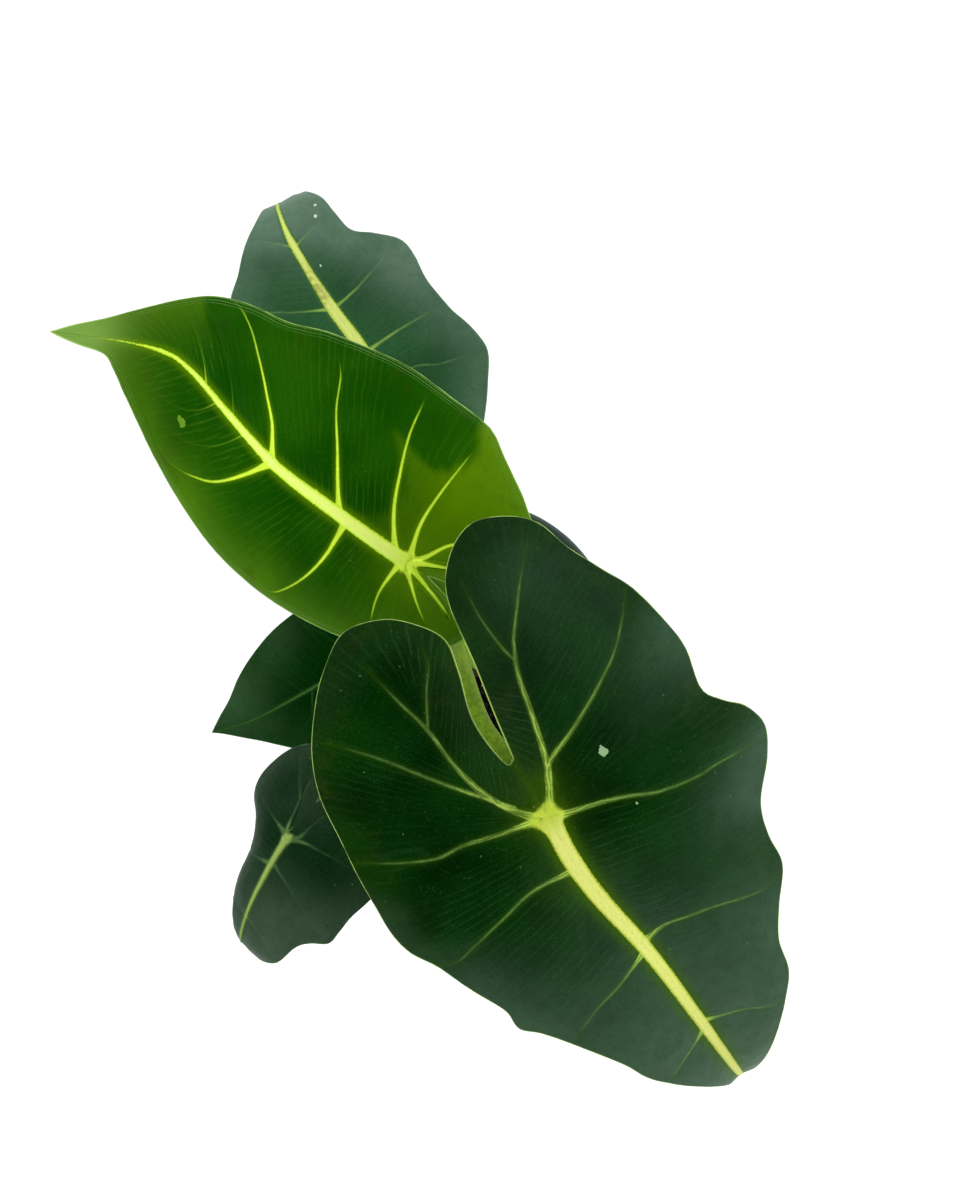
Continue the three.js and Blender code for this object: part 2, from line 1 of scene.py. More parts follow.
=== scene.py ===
import bmesh
import bpy
import numpy as np
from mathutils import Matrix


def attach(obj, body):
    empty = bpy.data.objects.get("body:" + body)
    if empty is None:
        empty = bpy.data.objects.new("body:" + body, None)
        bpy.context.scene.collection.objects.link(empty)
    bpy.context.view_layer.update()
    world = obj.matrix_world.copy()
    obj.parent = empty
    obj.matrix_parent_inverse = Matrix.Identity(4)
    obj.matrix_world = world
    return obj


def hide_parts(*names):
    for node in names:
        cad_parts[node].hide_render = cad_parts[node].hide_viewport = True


# Alocasia Frydek in a nursery pot. Shapes are worked out in millimetres with +Z up, and become metres
# when a mesh is made. A blade is drawn flat first: u runs along the midrib from the stalk towards the
# tip, w is the distance from it, positive on the left of someone who looks along it.

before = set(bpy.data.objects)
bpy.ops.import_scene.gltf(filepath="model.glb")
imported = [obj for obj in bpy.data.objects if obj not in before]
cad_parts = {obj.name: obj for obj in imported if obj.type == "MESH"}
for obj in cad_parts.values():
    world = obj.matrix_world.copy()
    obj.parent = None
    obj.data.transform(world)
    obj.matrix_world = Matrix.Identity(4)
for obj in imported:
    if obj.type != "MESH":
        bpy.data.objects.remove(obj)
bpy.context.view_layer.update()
metre = 0.001
pole = 0.01  # a turned shape starts this far from its axis, and weld closes it


def smoothTable(table, x):  # Hermite curve through rows of (x, value), level past its ends
    rows, x = np.asarray(table, float), np.asarray(x, float)
    if len(rows) == 1:
        return np.full(x.shape, rows[0, 1])
    xs, ys = rows.T
    number = np.arange(len(rows))
    before, after = np.maximum(number - 1, 0), np.minimum(number + 1, len(rows) - 1)
    slopes = (ys[after] - ys[before]) / (xs[after] - xs[before])
    x = np.clip(x, xs[0], xs[-1])
    i = np.clip(np.searchsorted(xs, x, side="right") - 1, 0, len(rows) - 2)
    width = xs[i + 1] - xs[i]
    s = (x - xs[i]) / width
    return ((2 * s**3 - 3 * s**2 + 1) * ys[i] + (s**3 - 2 * s**2 + s) * width * slopes[i]
            + (3 * s**2 - 2 * s**3) * ys[i + 1] + (s**3 - s**2) * width * slopes[i + 1])


def between(table, x, column=1):  # straight lines through a table whose first column rises or falls
    rows = np.asarray(table, float)
    rows = rows[np.argsort(rows[:, 0], kind="stable")]
    return np.interp(x, rows[:, 0], rows[:, column])


def spline(points, t):  # Catmull-Rom curve: at index t, a cubic of the two points before and the two after
    points = np.asarray(points, float)
    last = len(points) - 1
    i = np.minimum(np.floor(t).astype(int), last - 1)
    s = (t - i)[:, None]
    a, b, c, d = (points[np.clip(i + step, 0, last)] for step in (-1, 0, 1, 2))
    return b + 0.5 * s * (c - a + s * (2 * a - 5 * b + 4 * c - d + s * (3 * (b - c) + d - a)))


def evenly(points, count):  # count points along the curve through points
    return spline(points, np.linspace(0, len(points) - 1, count))


def ramp(x, low, high):  # 0 below low, 1 above high, with a smooth rise between
    s = np.clip((x - low) / (high - low), 0, 1)
    return s * s * (3 - 2 * s)


def bell(x, width):  # 1 at the middle, falling off to both sides
    return np.exp(-(x / width)**2)


def unit(vectors):  # each vector divided by its length
    return vectors / np.maximum(np.linalg.norm(vectors, axis=-1, keepdims=True), 1e-12)


def waves(points, length, count, seed):  # sum of plane waves in chance directions, about -1 to 1
    draw = np.random.default_rng(seed)
    ways = unit(draw.normal(size=(count, points.shape[-1])))
    lengths = length * draw.uniform(0.7, 1.5, count)
    phases = draw.uniform(0, 2 * np.pi, count)
    return np.sin(points @ ways.T * 2 * np.pi / lengths + phases).mean(-1) * 2


def makePiece(name, points, faces, material, slot=None, smooth=True):  # stage only if it has no slot
    mesh = bpy.data.meshes.new(name)
    mesh.from_pydata((np.asarray(points) * metre).tolist(), [], [list(map(int, face)) for face in faces])
    mesh.polygons.foreach_set("use_smooth", [smooth] * len(mesh.polygons))
    mesh.materials.append(material)
    mesh.update()
    piece = bpy.data.objects.new(name, mesh)
    bpy.context.scene.collection.objects.link(piece)
    if slot:
        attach(piece, "root")
    return piece


def setAttribute(piece, name, values):  # one number or three numbers for each vertex
    values = np.asarray(values, np.float32)
    single = values.ndim == 1
    layer = piece.data.attributes.new(name, "FLOAT" if single else "FLOAT_VECTOR", "POINT")
    layer.data.foreach_set("value" if single else "vector", values.ravel())


def setMap(piece, name, values):  # a UV map from two numbers for each vertex
    corner = np.empty(len(piece.data.loops), np.int32)
    piece.data.loops.foreach_get("vertex_index", corner)
    layer = piece.data.uv_layers.new(name=name)
    layer.data.foreach_set("uv", np.asarray(values, np.float32)[corner].ravel())


def gridFaces(rows, columns, wrap=False):  # quads of a grid; wrap joins the last column to the first
    i, j = np.meshgrid(np.arange(rows - 1), np.arange(columns - (0 if wrap else 1)), indexing="ij")
    after = (j + 1) % columns
    quads = [i * columns + j, i * columns + after, (i + 1) * columns + after, (i + 1) * columns + j]
    return np.stack(quads, -1).reshape(-1, 4)


def srgb(colour):  # screen colour from 0 to 255 as the shader's linear colour
    share = np.array(colour) / 255
    return (*np.where(share <= 0.04045, share / 12.92, ((share + 0.055) / 1.055) ** 2.4).tolist(), 1)


def dim(colour, share):  # each part of the colour times share
    return [share * part for part in colour]


class Value:  # what a node gives out; a sum with it adds a Math node
    def __init__(self, nodes, socket):
        self.nodes, self.socket = nodes, socket

    def __add__(self, other):
        return self.nodes.sum("ADD", self, other)

    def __sub__(self, other):
        return self.nodes.sum("SUBTRACT", self, other)

    def __mul__(self, other):
        return self.nodes.sum("MULTIPLY", self, other)

    def __pow__(self, other):
        return self.nodes.sum("POWER", self, other)

    def __abs__(self):
        return self.nodes.sum("ABSOLUTE", self)

    def span(self, low, high, first=0.0, last=1.0):  # smooth step from first at low to last at high
        sockets = {"Value": self, "From Min": low, "From Max": high, "To Min": first, "To Max": last}
        return self.nodes.put("MapRange", sockets, interpolation_type="SMOOTHSTEP")


class Nodes:
    def __init__(self, tree):
        self.tree = tree

    def join(self, node, sockets):  # a Value is linked, a number or a screen colour is set
        for key, value in sockets.items():
            socket = node.inputs[key]
            if isinstance(value, Value):
                self.tree.links.new(value.socket, socket)
            else:
                socket.default_value = srgb(value) if socket.type == "RGBA" else value

    def node(self, kind, sockets, **settings):
        node = self.tree.nodes.new("ShaderNode" + kind)
        for name, value in settings.items():
            setattr(node, name, value)
        self.join(node, sockets)
        return node

    def put(self, kind, sockets={}, output=0, **settings):
        return Value(self, self.node(kind, sockets, **settings).outputs[output])

    def parts(self, vector):  # its three numbers
        return [Value(self, output) for output in self.node("SeparateXYZ", {0: vector}).outputs]

    def sum(self, operation, *values, clamp=False):
        return self.put("Math", dict(enumerate(values)), operation=operation, use_clamp=clamp)

    def largest(self, value, *others):
        for other in others:
            value = self.sum("MAXIMUM", value, other)
        return value


class Shader(Nodes):
    def __init__(self, name):
        self.material = bpy.data.materials.new(name)
        self.material.use_nodes = True
        super().__init__(self.material.node_tree)
        self.tree.nodes.clear()
        self.surface = self.node("BsdfPrincipled", {})
        self.tree.links.new(self.surface.outputs[0], self.node("OutputMaterial", {}).inputs["Surface"])

    def attribute(self, name):
        return self.put("Attribute", output="Vector", attribute_name=name)

    def place(self, scale=None):  # stretched if a scale is given
        place = self.put("TexCoord", output="Object")
        return self.put("Mapping", {"Vector": place, "Scale": scale}) if scale else place

    def noise(self, size, detail=2.0, roughness=0.5, where=None):  # size in mm
        return self.put("TexNoise", {"Vector": where or self.place(), "Scale": 1 / (size * metre),
                                     "Detail": detail, "Roughness": roughness}, "Fac")

    def cells(self, size):  # distance to the middle of the nearest cell, as a share of their size in mm
        return self.put("TexVoronoi", {"Vector": self.place(), "Scale": 1 / (size * metre)}, "Distance")

    def layers(self, colour, *coats):  # colours laid one over another, each by its mask from 0 to 1
        for mask, coat in coats:
            colour = self.put("Mix", {0: mask, 6: colour, 7: coat}, 2, data_type="RGBA")
        return colour

    def bump(self, height, distance, strength):  # distance in mm
        return self.put("Bump", {"Height": height, "Distance": distance * metre, "Strength": strength})

    def finish(self, **sockets):  # baseColor stands for Base Color, and so on
        names = {"".join(s.name.title().split()): s.name for s in self.surface.inputs}
        self.join(self.surface, {names[key[0].upper() + key[1:]]: value for key, value in sockets.items()})
        return self.material


# top: the blade's foot. heading, roll: which way it points and leans. pitch: the midrib's slope in degrees at
# places u, sway: how far it wanders sideways. halfWidth: where a margin's waves are full. path: the stalk.
# midrib: half width of its pale skin. hub: radius of the knot where the ribs meet. density: mesh steps along
# the basal rib, round the lobe, at the notch, along the midrib and across. A half has its margin from the
# notch round the lobe to the tip, and its basal rib, which faces the margin's points 0 to inner on one side
# and outer on the other; front gives them for the midrib, with the bow of the row. fold is its angle at the
# midrib, curl its bend in degrees for each mm, wave the height, length and start of its margin's waves.
# Places are u, w, radius and amount: glow, painted light where it shines through the blade, cast, where the
# painted sheen is stronger or weaker, pale, a paler margin, bruise, brown midrib. edgeGlow is the painted
# light shining through along the margin. bloom is the painted sheen, a pale tint where the blade turns away
# towards
# the bright horizon: the tilts where it starts and is full, what it has all over and near the margin. scars:
# u,
# w, radius. veins: layer, half width, flare at the root, points. veinEnd: the share of its width at its end.
plainLeaf = dict(roll=0, edgeGlow=0, veinEnd=0.25, glow=[], cast=[], pale=[], bruise=[], scars=[])
leaves = [dict(
    name="big", top=(26, -51, 330), heading=-56, ribWidth=7.4, halfWidth=78, footRadius=4.6, topRadius=3.3,
    hub=4.2, edgeGlow=0.1, bloom=(15, 36, 0, 0.1), density=(34, 30, 16, 190, 60),
    pitch=[(-120, -6), (-50, -12), (0, -15), (60, -25), (115, -38), (150, -60), (172, -88), (195, -125)],
    sway=[(-95, 6), (-60, 5), (-25, 0.5), (0, -0.5), (15, -2.2), (32, -2), (60, 1), (85, 2), (155, 2.2),
          (200, 1)],
    path=[(4.5, -8.4, 95), (1.5, -7, 140), (-4, -1, 190), (-6.5, 1.5, 232), (-3, -7, 268), (3, -22, 297),
          (10.5, -32, 314), (18, -42.4, 323.5), (26, -51, 330)],
    midrib=[(-4, -2), (-1, 2), (0, 3.2), (6, 3.4), (38, 3.0), (76, 2.5), (114, 2.0), (152, 1.3),
            (172, 0.5)],
    left=dict(
        margin=[(-23.3, 0), (-26.5, 0.7), (-52, 2.4), (-78, 6), (-90, 14), (-95, 25), (-91, 36), (-83, 44),
                (-71, 48), (-59, 54), (-47, 61), (-32, 66.5), (-19, 69), (-5, 66), (3, 71), (10, 78),
                (20, 81), (31, 75), (42, 63), (53, 57.5), (65, 55), (77, 46), (90, 39), (105, 36),
                (117, 29), (130, 21), (144, 13), (158, 6), (174, 2.5), (190, 0)],
        front=[(0, 15.6, 2.4), (2, 16, 2.6), (57, 20, 0), (103, 24, -1.5), (190, 29, 0)],
        rib=[(0, 0), (-16, 8.5), (-46, 14), (-56, 17)], inner=3.2, outer=[(1, 7.2), (0.31, 10), (0, 12)],
        fold=[(-110, 4), (0, 10), (60, 12), (150, 14)], curl=[(-110, 0.35), (0, 0.45), (100, 0.5)],
        wave=(2.5, 60, 0)),
    right=dict(
        margin=[(-23.3, 0), (-24.2, 2.6), (-42, 5.5), (-58, 2.5), (-69, 1.2), (-79, 7), (-86, 15),
                (-89, 27), (-83, 38), (-75, 47), (-62, 57), (-48, 62), (-30, 62.5), (-12, 64), (3, 65),
                (14, 62.5), (24, 57), (38, 53), (50, 50), (60, 51), (67, 46), (80, 39), (97, 31), (110, 27),
                (122, 21), (137, 13), (152, 7), (170, 3), (190, 0)],
        front=[(0, 12.3, 3), (2, 12.7, 3), (19, 16, 0), (64, 20.7, 0), (109, 23.9, 0), (190, 28, 0)],
        rib=[(0, 0), (-13, 11), (-30, 17), (-50, 21)], inner=4.4, outer=[(1, 7.6), (0.42, 10), (0, 11.3)],
        fold=[(-110, 4), (0, 10), (60, 12), (150, 14)], curl=[(-110, 0.3), (0, 0.4), (100, 0.5)],
        wave=(2, 60, 30)),
    glow=[(-5, 0, 11, 0.6), (24, -3, 12, 0.3), (-13, 5, 5, 0.3)],
    cast=[(35, -52, 14, 0.5), (68, 40, 16, 0.3), (-72, 30, 14, 0.35), (40, 62, 12, 0.3),
          (-50, 42, 24, 0.25), (-14, 50, 16, 0.2), (-38, -46, 20, -0.3), (4, -44, 16, -0.2)],
    pale=[(-32, 2, 9, 1), (-46, 3, 10, 1), (-60, 3, 10, 1)],
    scars=[(-9.5, 26.5, 2.1), (-57, -35, 0.5), (-28.5, 65, 0.6), (12.5, 28, 0.3), (-32, 25.5, 0.35)],
    veins=[
        (0, 1.2, 2.4, [(0, 0), (-8, 5), (-16, 9), (-29, 12), (-46, 14), (-55, 17), (-61, 21), (-71, 29),
                       (-79, 37)]),
        (2, 0.4, 0, [(-51, 15), (-58, 13), (-69, 12), (-79, 13)]),
        (1, 0.9, 0.6, [(-10, 6), (-16, 10), (-21, 22), (-29, 38), (-36, 48), (-48, 58)]),
        (1, 0.8, 2.4, [(1, 1), (5, 17), (9, 27), (14, 37), (18, 51), (19, 59), (23, 76)]),
        (0, 0.65, 1.6, [(59, 0), (57, 10), (59, 19), (62, 29), (66, 38), (68, 45), (67, 50)]),
        (1, 0.55, 1.5, [(104, 0), (109, 15), (114, 22), (117, 29)]),
        (2, 1.1, 3.4, [(0, 0), (-4, -5), (-13, -11), (-24, -15), (-35, -18), (-47, -20), (-60, -24),
                       (-74, -27)]),
        (0, 0.4, 0, [(-48, -20), (-58, -15), (-65, -10), (-70, -9)]),
        (0, 0.7, 0.4, [(-9, -8), (-18, -14), (-27, -21), (-37, -29), (-48, -38), (-62, -51)]),
        (1, 0.9, 3.0, [(1, -1), (-2, -6), (-5, -16), (-9, -28), (-10, -37), (-14, -46), (-23, -61)]),
        (2, 0.7, 1.8, [(21, 0), (18, -16), (20, -29), (23, -42), (25, -51), (23, -56)]),
        (0, 0.6, 1.6, [(62, 0), (67, -15), (70, -27), (76, -39)]),
        (1, 0.55, 1.4, [(108, 0), (114, -13), (119, -22)])]
), dict(
    name="young", top=(-21, 32, 318), heading=147.3, ribWidth=6.4, halfWidth=52, footRadius=3.9,
    topRadius=2.9, hub=3.4, edgeGlow=0.4, bloom=(30, 60, 0, 0.26), veinEnd=0.3,
    density=(22, 24, 10, 150, 44),
    pitch=[(-60, 2), (0, -2), (60, -6), (110, -10), (150, -14)],
    sway=[(-30, 0), (0, 0), (32, -1.5), (55, -3.5), (78, -9.5), (97, -15), (108, -16), (125, -11),
          (148, -1), (160, 2)],
    path=[(0, 0, 95), (2, 5, 150), (0.5, 12, 205), (-4.5, 19, 255), (-12, 25.3, 295), (-21, 32, 318)],
    midrib=[(-4, -2), (-1, 2), (0, 2.6), (25, 2.4), (50, 1.95), (76, 1.35), (100, 0.85), (116, 0.5),
            (126, 0.3), (136, 0), (150, -0.8)],
    left=dict(
        margin=[(-8, 0), (-14, 1.5), (-22, 4), (-29, 9), (-28, 15), (-21, 22), (-8, 30), (6, 35.5),
                (20, 38.5), (35, 40), (51, 39), (68, 37.5), (82, 35), (95, 31.5), (105, 26.5), (114, 19),
                (122, 11), (128, 6), (138, 3.5), (150, 0)],
        front=[(0, 6.1, 0), (3, 6.6, 0), (24, 8.9, 0), (58, 12.1, -2), (150, 19, 0)],
        rib=[(0, 0), (-5, 3), (-14, 5), (-20, 8)], inner=2.2, outer=[(1, 3.8), (0.25, 5), (0, 5.3)],
        fold=[(-60, -4), (0, -8), (150, 4)], curl=[(0, 0.6)], wave=(0.8, 50, 0)),
    right=dict(
        margin=[(-8, 0), (-14, 1.5), (-25, 3.5), (-38, 6), (-47, 13), (-46, 22), (-38, 29), (-28, 34),
                (-20, 40), (-9, 47), (1, 53), (17, 54), (34, 54), (50, 51), (63, 46), (76, 38), (88, 33),
                (100, 27), (112, 20), (123, 13.5), (133, 8), (143, 4), (150, 0)],
        front=[(0, 9.7, 0), (1, 10, 1), (6, 11.6, 2.5), (30, 13.7, 0), (58, 16.5, -3.5), (91, 18.3, -1),
               (150, 22, 0)],
        rib=[(0, 0), (-6, 4), (-16, 9), (-26, 14)], inner=2.8, outer=[(1, 5.4), (0.2, 7.4), (0, 8)],
        fold=[(-60, 8), (0, 14), (150, 16)], curl=[(0, 0.35)], wave=(0.8, 50, 20)),
    glow=[(-2, -38, 24, 1.1), (-30, -26, 22, 1.0), (22, -50, 12, 0.7), (146, 0, 12, 1.4), (120, 0, 12, 0.2),
          (-4, 0, 16, 0.8), (-18, 22, 12, 0.3), (78, 34, 12, 0.35), (40, 36, 12, 0.3)],
    pale=[(150, 0, 18, 1), (134, 0, 8, 0.5)], scars=[(91.5, 15, 2.0)],
    veins=[
        (0, 0.9, 0.8, [(0, 0), (-4, -5), (-9, -13), (-18, -20)]),
        (2, 0.75, 0.8, [(0, 0), (-5, -3), (-12, -6), (-24, -12)]),
        (1, 0.68, 1.3, [(0, -1), (3, -13), (3, -25), (2, -36), (1, -46)]),
        (2, 0.74, 1.4, [(5, 0), (13, -12), (18, -24), (22, -36), (24, -48), (26, -51)]),
        (0, 0.64, 1.4, [(28, 0), (33, -7), (40, -18), (47, -28), (52, -38), (58, -44)]),
        (1, 0.64, 1.4, [(57, 0), (63, -9), (70, -15), (78, -21), (86, -26), (93, -28), (99, -28)]),
        (2, 0.12, 0, [(90, -28), (98, -28), (106, -24), (112, -19)]),
        (0, 0.1, 0.15, [(76, 0), (84, -9), (94, -16), (106, -20)]),
        (2, 0.14, 0.25, [(91, -1), (96, -6), (100, -9), (106, -13), (113, -16)]),
        (0, 0.66, 1.4, [(57, 0), (63, 10), (71, 20), (80, 25.5), (87, 28)]),
        (2, 0.13, 0, [(79, 25), (87, 28), (96, 27), (106, 21)]),
        (1, 0.12, 0.2, [(70, 0), (76, 10), (86, 18), (97, 21)]),
        (0, 0.12, 0.2, [(84, 0), (89, 8), (97, 13), (108, 14)]),
        (1, 0.68, 1.4, [(25, 0), (25, 14), (28, 26), (34, 36), (40, 38)]),
        (2, 0.62, 1.3, [(2, 0), (3, 14), (0, 26)]), (0, 0.62, 1.0, [(0, 1), (-10, 10), (-17, 15)]),
        (1, 0.7, 1.1, [(0, 0), (-15, 5), (-24, 9)])]
), dict(
    name="back", top=(-31, 95, 255), heading=119.3, ribWidth=6, halfWidth=42, footRadius=4.3, topRadius=2.7,
    hub=3, bloom=(12, 34, 0.14, 0.6), veinEnd=0.5, density=(20, 22, 8, 112, 34),
    pitch=[(-60, -4), (0, -6), (40, -10), (70, -22), (92, -50), (108, -88), (128, -130)],
    sway=[(0, 0), (24, 0), (41, 2), (73, 3), (91, 1.5), (104, 0)],
    path=[(1.6, 9.3, 95), (5, 13, 135), (5, 24, 180), (-2, 43, 220), (-14, 68, 244), (-31, 95, 255)],
    midrib=[(-4, -2), (-1, 1.5), (0, 3), (20, 2.7), (41, 2.2), (60, 1.5), (72, 1.4), (80, 1), (92, 0.7),
            (130, 0.2)],
    left=dict(
        margin=[(-13, 0), (-20, 2), (-30, 5), (-35, 13), (-31, 23), (-21, 31), (-8, 38), (6, 40),
                (20, 37.5), (33, 36.5), (45, 36.5), (54, 35), (63, 30.5), (70, 24), (80, 17), (91, 9.5),
                (102, 5.5), (118, 2.5), (138, 0)],
        front=[(0, 6.4, 0), (4, 6.8, 0), (18, 8.2, 0), (41, 11, 0), (70, 14, 0), (138, 18, 0)],
        rib=[(0, 0), (-6, 7), (-15, 14), (-21, 18)], inner=2.4, outer=[(1, 4.6), (0, 6)],
        fold=[(-60, 4), (0, 9), (110, 12)], curl=[(0, 0.4)], wave=(1.6, 40, 0)),
    right=dict(
        margin=[(-13, 0), (-21, 1.5), (-30, 4), (-34, 12), (-32, 21), (-24, 28), (-14, 35), (-3, 41),
                (8, 40), (18, 36.5), (30, 35), (42, 37), (51, 36), (58, 29), (64, 22), (74, 20), (85, 18),
                (97, 13), (110, 8), (123, 4), (138, 0)],
        front=[(0, 6.8, 0), (5, 7.2, 0), (18, 9.2, 0), (40, 12, 0), (70, 15.4, 0), (138, 20, 0)],
        rib=[(0, 0), (-6, 7), (-15, 14), (-22, 18)], inner=2.4, outer=[(1, 4.4), (0, 6.2)],
        fold=[(-60, 4), (0, 9), (60, 8), (110, -2)], curl=[(0, 0.4)], wave=(1.6, 40, 20)),
    cast=[(42, -30, 16, 0.5), (68, -16, 12, 0.5)], bruise=[(54, 2, 4.5, 1), (46, 1, 2.5, 1)],
    scars=[(77.5, -12.5, 0.8), (82.5, -14, 0.6), (56.5, -5, 0.5)],
    veins=[
        (0, 0.32, 0.3, [(70, 0), (73, -9), (75, -13)]),
        (1, 0.42, 0.5, [(40, 0), (42, -12), (46, -23), (50, -32)]),
        (2, 0.5, 0.5, [(19, -1), (20, -16), (20, -33)]),
        (0, 0.4, 0.5, [(1, -1), (5, -13), (1, -23), (-1, -34)]),
        (1, 0.32, 0.3, [(70, 0), (78, 9), (81, 14)]),
        (2, 0.42, 0.5, [(40, 0), (46, 14), (48, 17), (53, 27)]),
        (1, 0.5, 0.6, [(18, 1), (20, 14), (22, 33)]), (0, 0.4, 1, [(0, 1), (-1, 14), (-6, 32)]),
        (2, 0.4, 1, [(-1, 1), (-10, 9), (-24, 17)]), (1, 0.4, 1, [(-1, -1), (-10, -9), (-24, -17)])]
), dict(
    name="low", top=(-71, -72, 235), heading=246, roll=10, ribWidth=4, halfWidth=40, footRadius=4.2,
    topRadius=2.4, hub=1.7, bloom=(80, 90, 0.02, 0.4), density=(18, 18, 8, 92, 32),
    pitch=[(-50, -4), (0, -8), (25, -14), (42, -34), (60, -86), (80, -128)],
    sway=[(-40, 11), (-18, 5), (0, 0), (24, -2.5), (37, -2.5), (54, -1)],
    path=[(-6.1, -7.3, 95), (-10, -14, 135), (-18, -28, 175), (-33, -44, 208), (-54.5, -53.5, 226),
          (-71, -72, 235)],
    midrib=[(-4, -2), (-1, 0.6), (0, 1.2), (12, 1.1), (22, 0.9), (40, 0.55), (60, 0.3), (85, 0.1)],
    left=dict(
        margin=[(-18, 0), (-26, 1.5), (-34, 4), (-40, 11), (-38, 20), (-30, 28), (-20, 34), (-8, 38.5),
                (4, 41), (16, 37.5), (24, 36), (29, 34.5), (32, 28), (36, 23.5), (46, 18.5), (55, 10),
                (64, 6), (76, 2.5), (90, 0)],
        front=[(0, 7.4, 0), (1, 7.6, 0), (12, 11, 0), (37, 14, 0), (90, 18, 0)],
        rib=[(0, 0), (-8, 5), (-18, 10), (-25, 14)], inner=2.4, outer=[(1, 4.6), (0, 6.4)],
        fold=[(0, 8), (60, 14)], curl=[(0, 0.5)], wave=(1.6, 34, 0)),
    right=dict(
        margin=[(-18, 0), (-26, 2), (-34, 6), (-38, 14), (-34, 22), (-27, 28), (-17, 32), (-9, 32),
                (-1, 29), (9, 26), (20, 24), (31, 21.5), (42, 17), (54, 11), (66, 6.5), (78, 3), (90, 0)],
        front=[(0, 7.3, 0), (1, 7.5, 0), (13, 9.8, 0), (37, 11.8, 0), (90, 16, 0)],
        rib=[(0, 0), (-8, 3), (-15, 6), (-22, 10)], inner=2.4, outer=[(1, 4.3), (0, 6.4)],
        fold=[(-30, -14), (15, -20), (60, -24)], curl=[(-30, 0.8), (-5, 1.2), (12, 2.6), (45, 3)],
        wave=(1.2, 34, 17)),
    cast=[(30, 8, 18, 0.8), (30, 26, 12, 0.5), (50, 10, 16, 0.6)],
    veins=[
        (0, 0.5, 0.8, [(0, -1), (-2, -4), (-5, -17), (-6, -24)]),
        (1, 0.4, 0.6, [(12, -1), (16, -18), (17, -22)]), (2, 0.3, 0.3, [(36, 0), (38, -10), (39, -17)]),
        (1, 0.6, 1.1, [(0, 0), (-2, -2), (-15, -6), (-27, -9)]),
        (2, 0.35, 0.1, [(-16, -6), (-20, -11), (-32, -22)]), (2, 0.5, 1.2, [(0, 0), (-2, 9), (-1, 30)]),
        (0, 0.4, 0.6, [(11, 0), (19, 15), (29, 32)]), (1, 0.3, 0.3, [(36, 0), (45, 16)]),
        (0, 0.5, 0.8, [(-1, 0), (-3, 4), (-15, 6), (-28, 14)])]
), dict(
    name="side", top=(-40, -2, 210), heading=205.7, ribWidth=4, halfWidth=32, footRadius=4, topRadius=2.2,
    hub=1.2, bloom=(80, 90, 0, 0.15), density=(14, 16, 8, 80, 28),
    pitch=[(-40, -4), (0, -14), (40, -26), (80, -34)], sway=[(0, 0), (48, 3), (67, 3), (88, 0.5)],
    path=[(-9.4, 1.6, 95), (-12, 1, 135), (-18, 0, 170), (-28, -1, 196), (-40, -2, 210)],
    midrib=[(-4, -2), (-1, 0.5), (0, 0.9), (30, 0.5), (60, 0.25), (84, 0.1)],
    left=dict(
        margin=[(-12, 0), (-17, 2), (-22, 6), (-24, 13), (-20, 21), (-10, 27.5), (2, 31), (18, 30),
                (32, 27), (44, 21.5), (54, 15), (64, 9), (74, 4.5), (81, 1.8), (87, 0)],
        front=[(0, 5.7, 0), (2, 6, 0), (24, 8.3, 0), (48, 10.6, 0), (87, 14, 0)],
        rib=[(0, 0), (-5, 3.5), (-10, 7), (-15, 10.5)], inner=2.2, outer=[(1, 4), (0, 5.3)],
        fold=[(0, 6), (95, 10)], curl=[(0, 0.4)], wave=(0.8, 34, 0)),
    right=dict(
        margin=[(-12, 0), (-17, 2), (-22, 6), (-24, 13), (-20, 21), (-9, 27.5), (6, 30.5), (22, 30),
                (36, 28), (48, 24), (59, 18.5), (69, 11.5), (78, 6), (87, 0)],
        front=[(0, 5.7, 0), (2, 6, 0), (24, 8, 0), (48, 10, 0), (87, 13, 0)],
        rib=[(0, 0), (-5, 3.5), (-10, 7), (-15, 10.5)], inner=2.2, outer=[(1, 4), (0, 5.3)],
        fold=[(0, 6), (95, 10)], curl=[(0, 0.4)], wave=(0.8, 34, 17)),
    cast=[(68, -14, 20, 0.8), (34, -26, 12, 0.4)],
    veins=[
        (0, 0.3, 0.2, [(30, 0), (35, 9), (44, 13), (56, 13)]), (1, 0.3, 0.3, [(8, 0), (13, 14), (24, 28)]),
        (2, 0.4, 0.5, [(-1, 0), (-6, 12), (-8, 27)]), (0, 0.4, 0.5, [(-1, 0), (-9, 6), (-18, 12)]),
        (0, 0.2, 0.2, [(34, 0), (40, -10), (50, -19)]), (1, 0.3, 0.3, [(8, 0), (13, -14), (24, -28)]),
        (2, 0.4, 0.5, [(-1, 0), (-6, -12), (-8, -27)]), (0, 0.4, 0.5, [(-1, 0), (-9, -6), (-18, -12)])]
)]
leaves = [dict(plainLeaf, **leaf) for leaf in leaves]

blade = dict(
    thickness=0.7, edgeThickness=0.42, edgeThinning=4,   # thinner over so much at the margin
    ribWidthLoss=0.8,     # share of its width that the midrib loses to the tip
    basalWidth=0.75, basalLoss=0.5,      # basal rib, as shares of the midrib's width
    ribRise=0.12, ribKeel=0.42,          # midrib above and below the blade, as shares of its width
    ribSteps=6,           # mesh steps across half a rib
    quilt=0.55, swell=(0.5, 11),         # swells between the side veins, from and to so far from them
    sink=0.22, sinkWidth=1.1,            # the side veins lie this much under that
    underVein=0.45, underVeinWidth=0.9,  # and stand out this much below
    ripples=((17, 0.16, 3), (6, 0.064, 5)),   # small chance swells: length, height, seed
    flareLength=3.2, veinReach=5,        # how far a vein's root flares, and where a point knows no vein
    spine=(-130, 230, 0.5), outlineSteps=120, marginSteps=300,
    stretch=1.6, edgeGlowWidth=9, castReach=22,          # of scars and bruises, at the margin
    shadowShift=(0, -9), shadowSoft=(-2.5, 1))           # a shadow on another blade


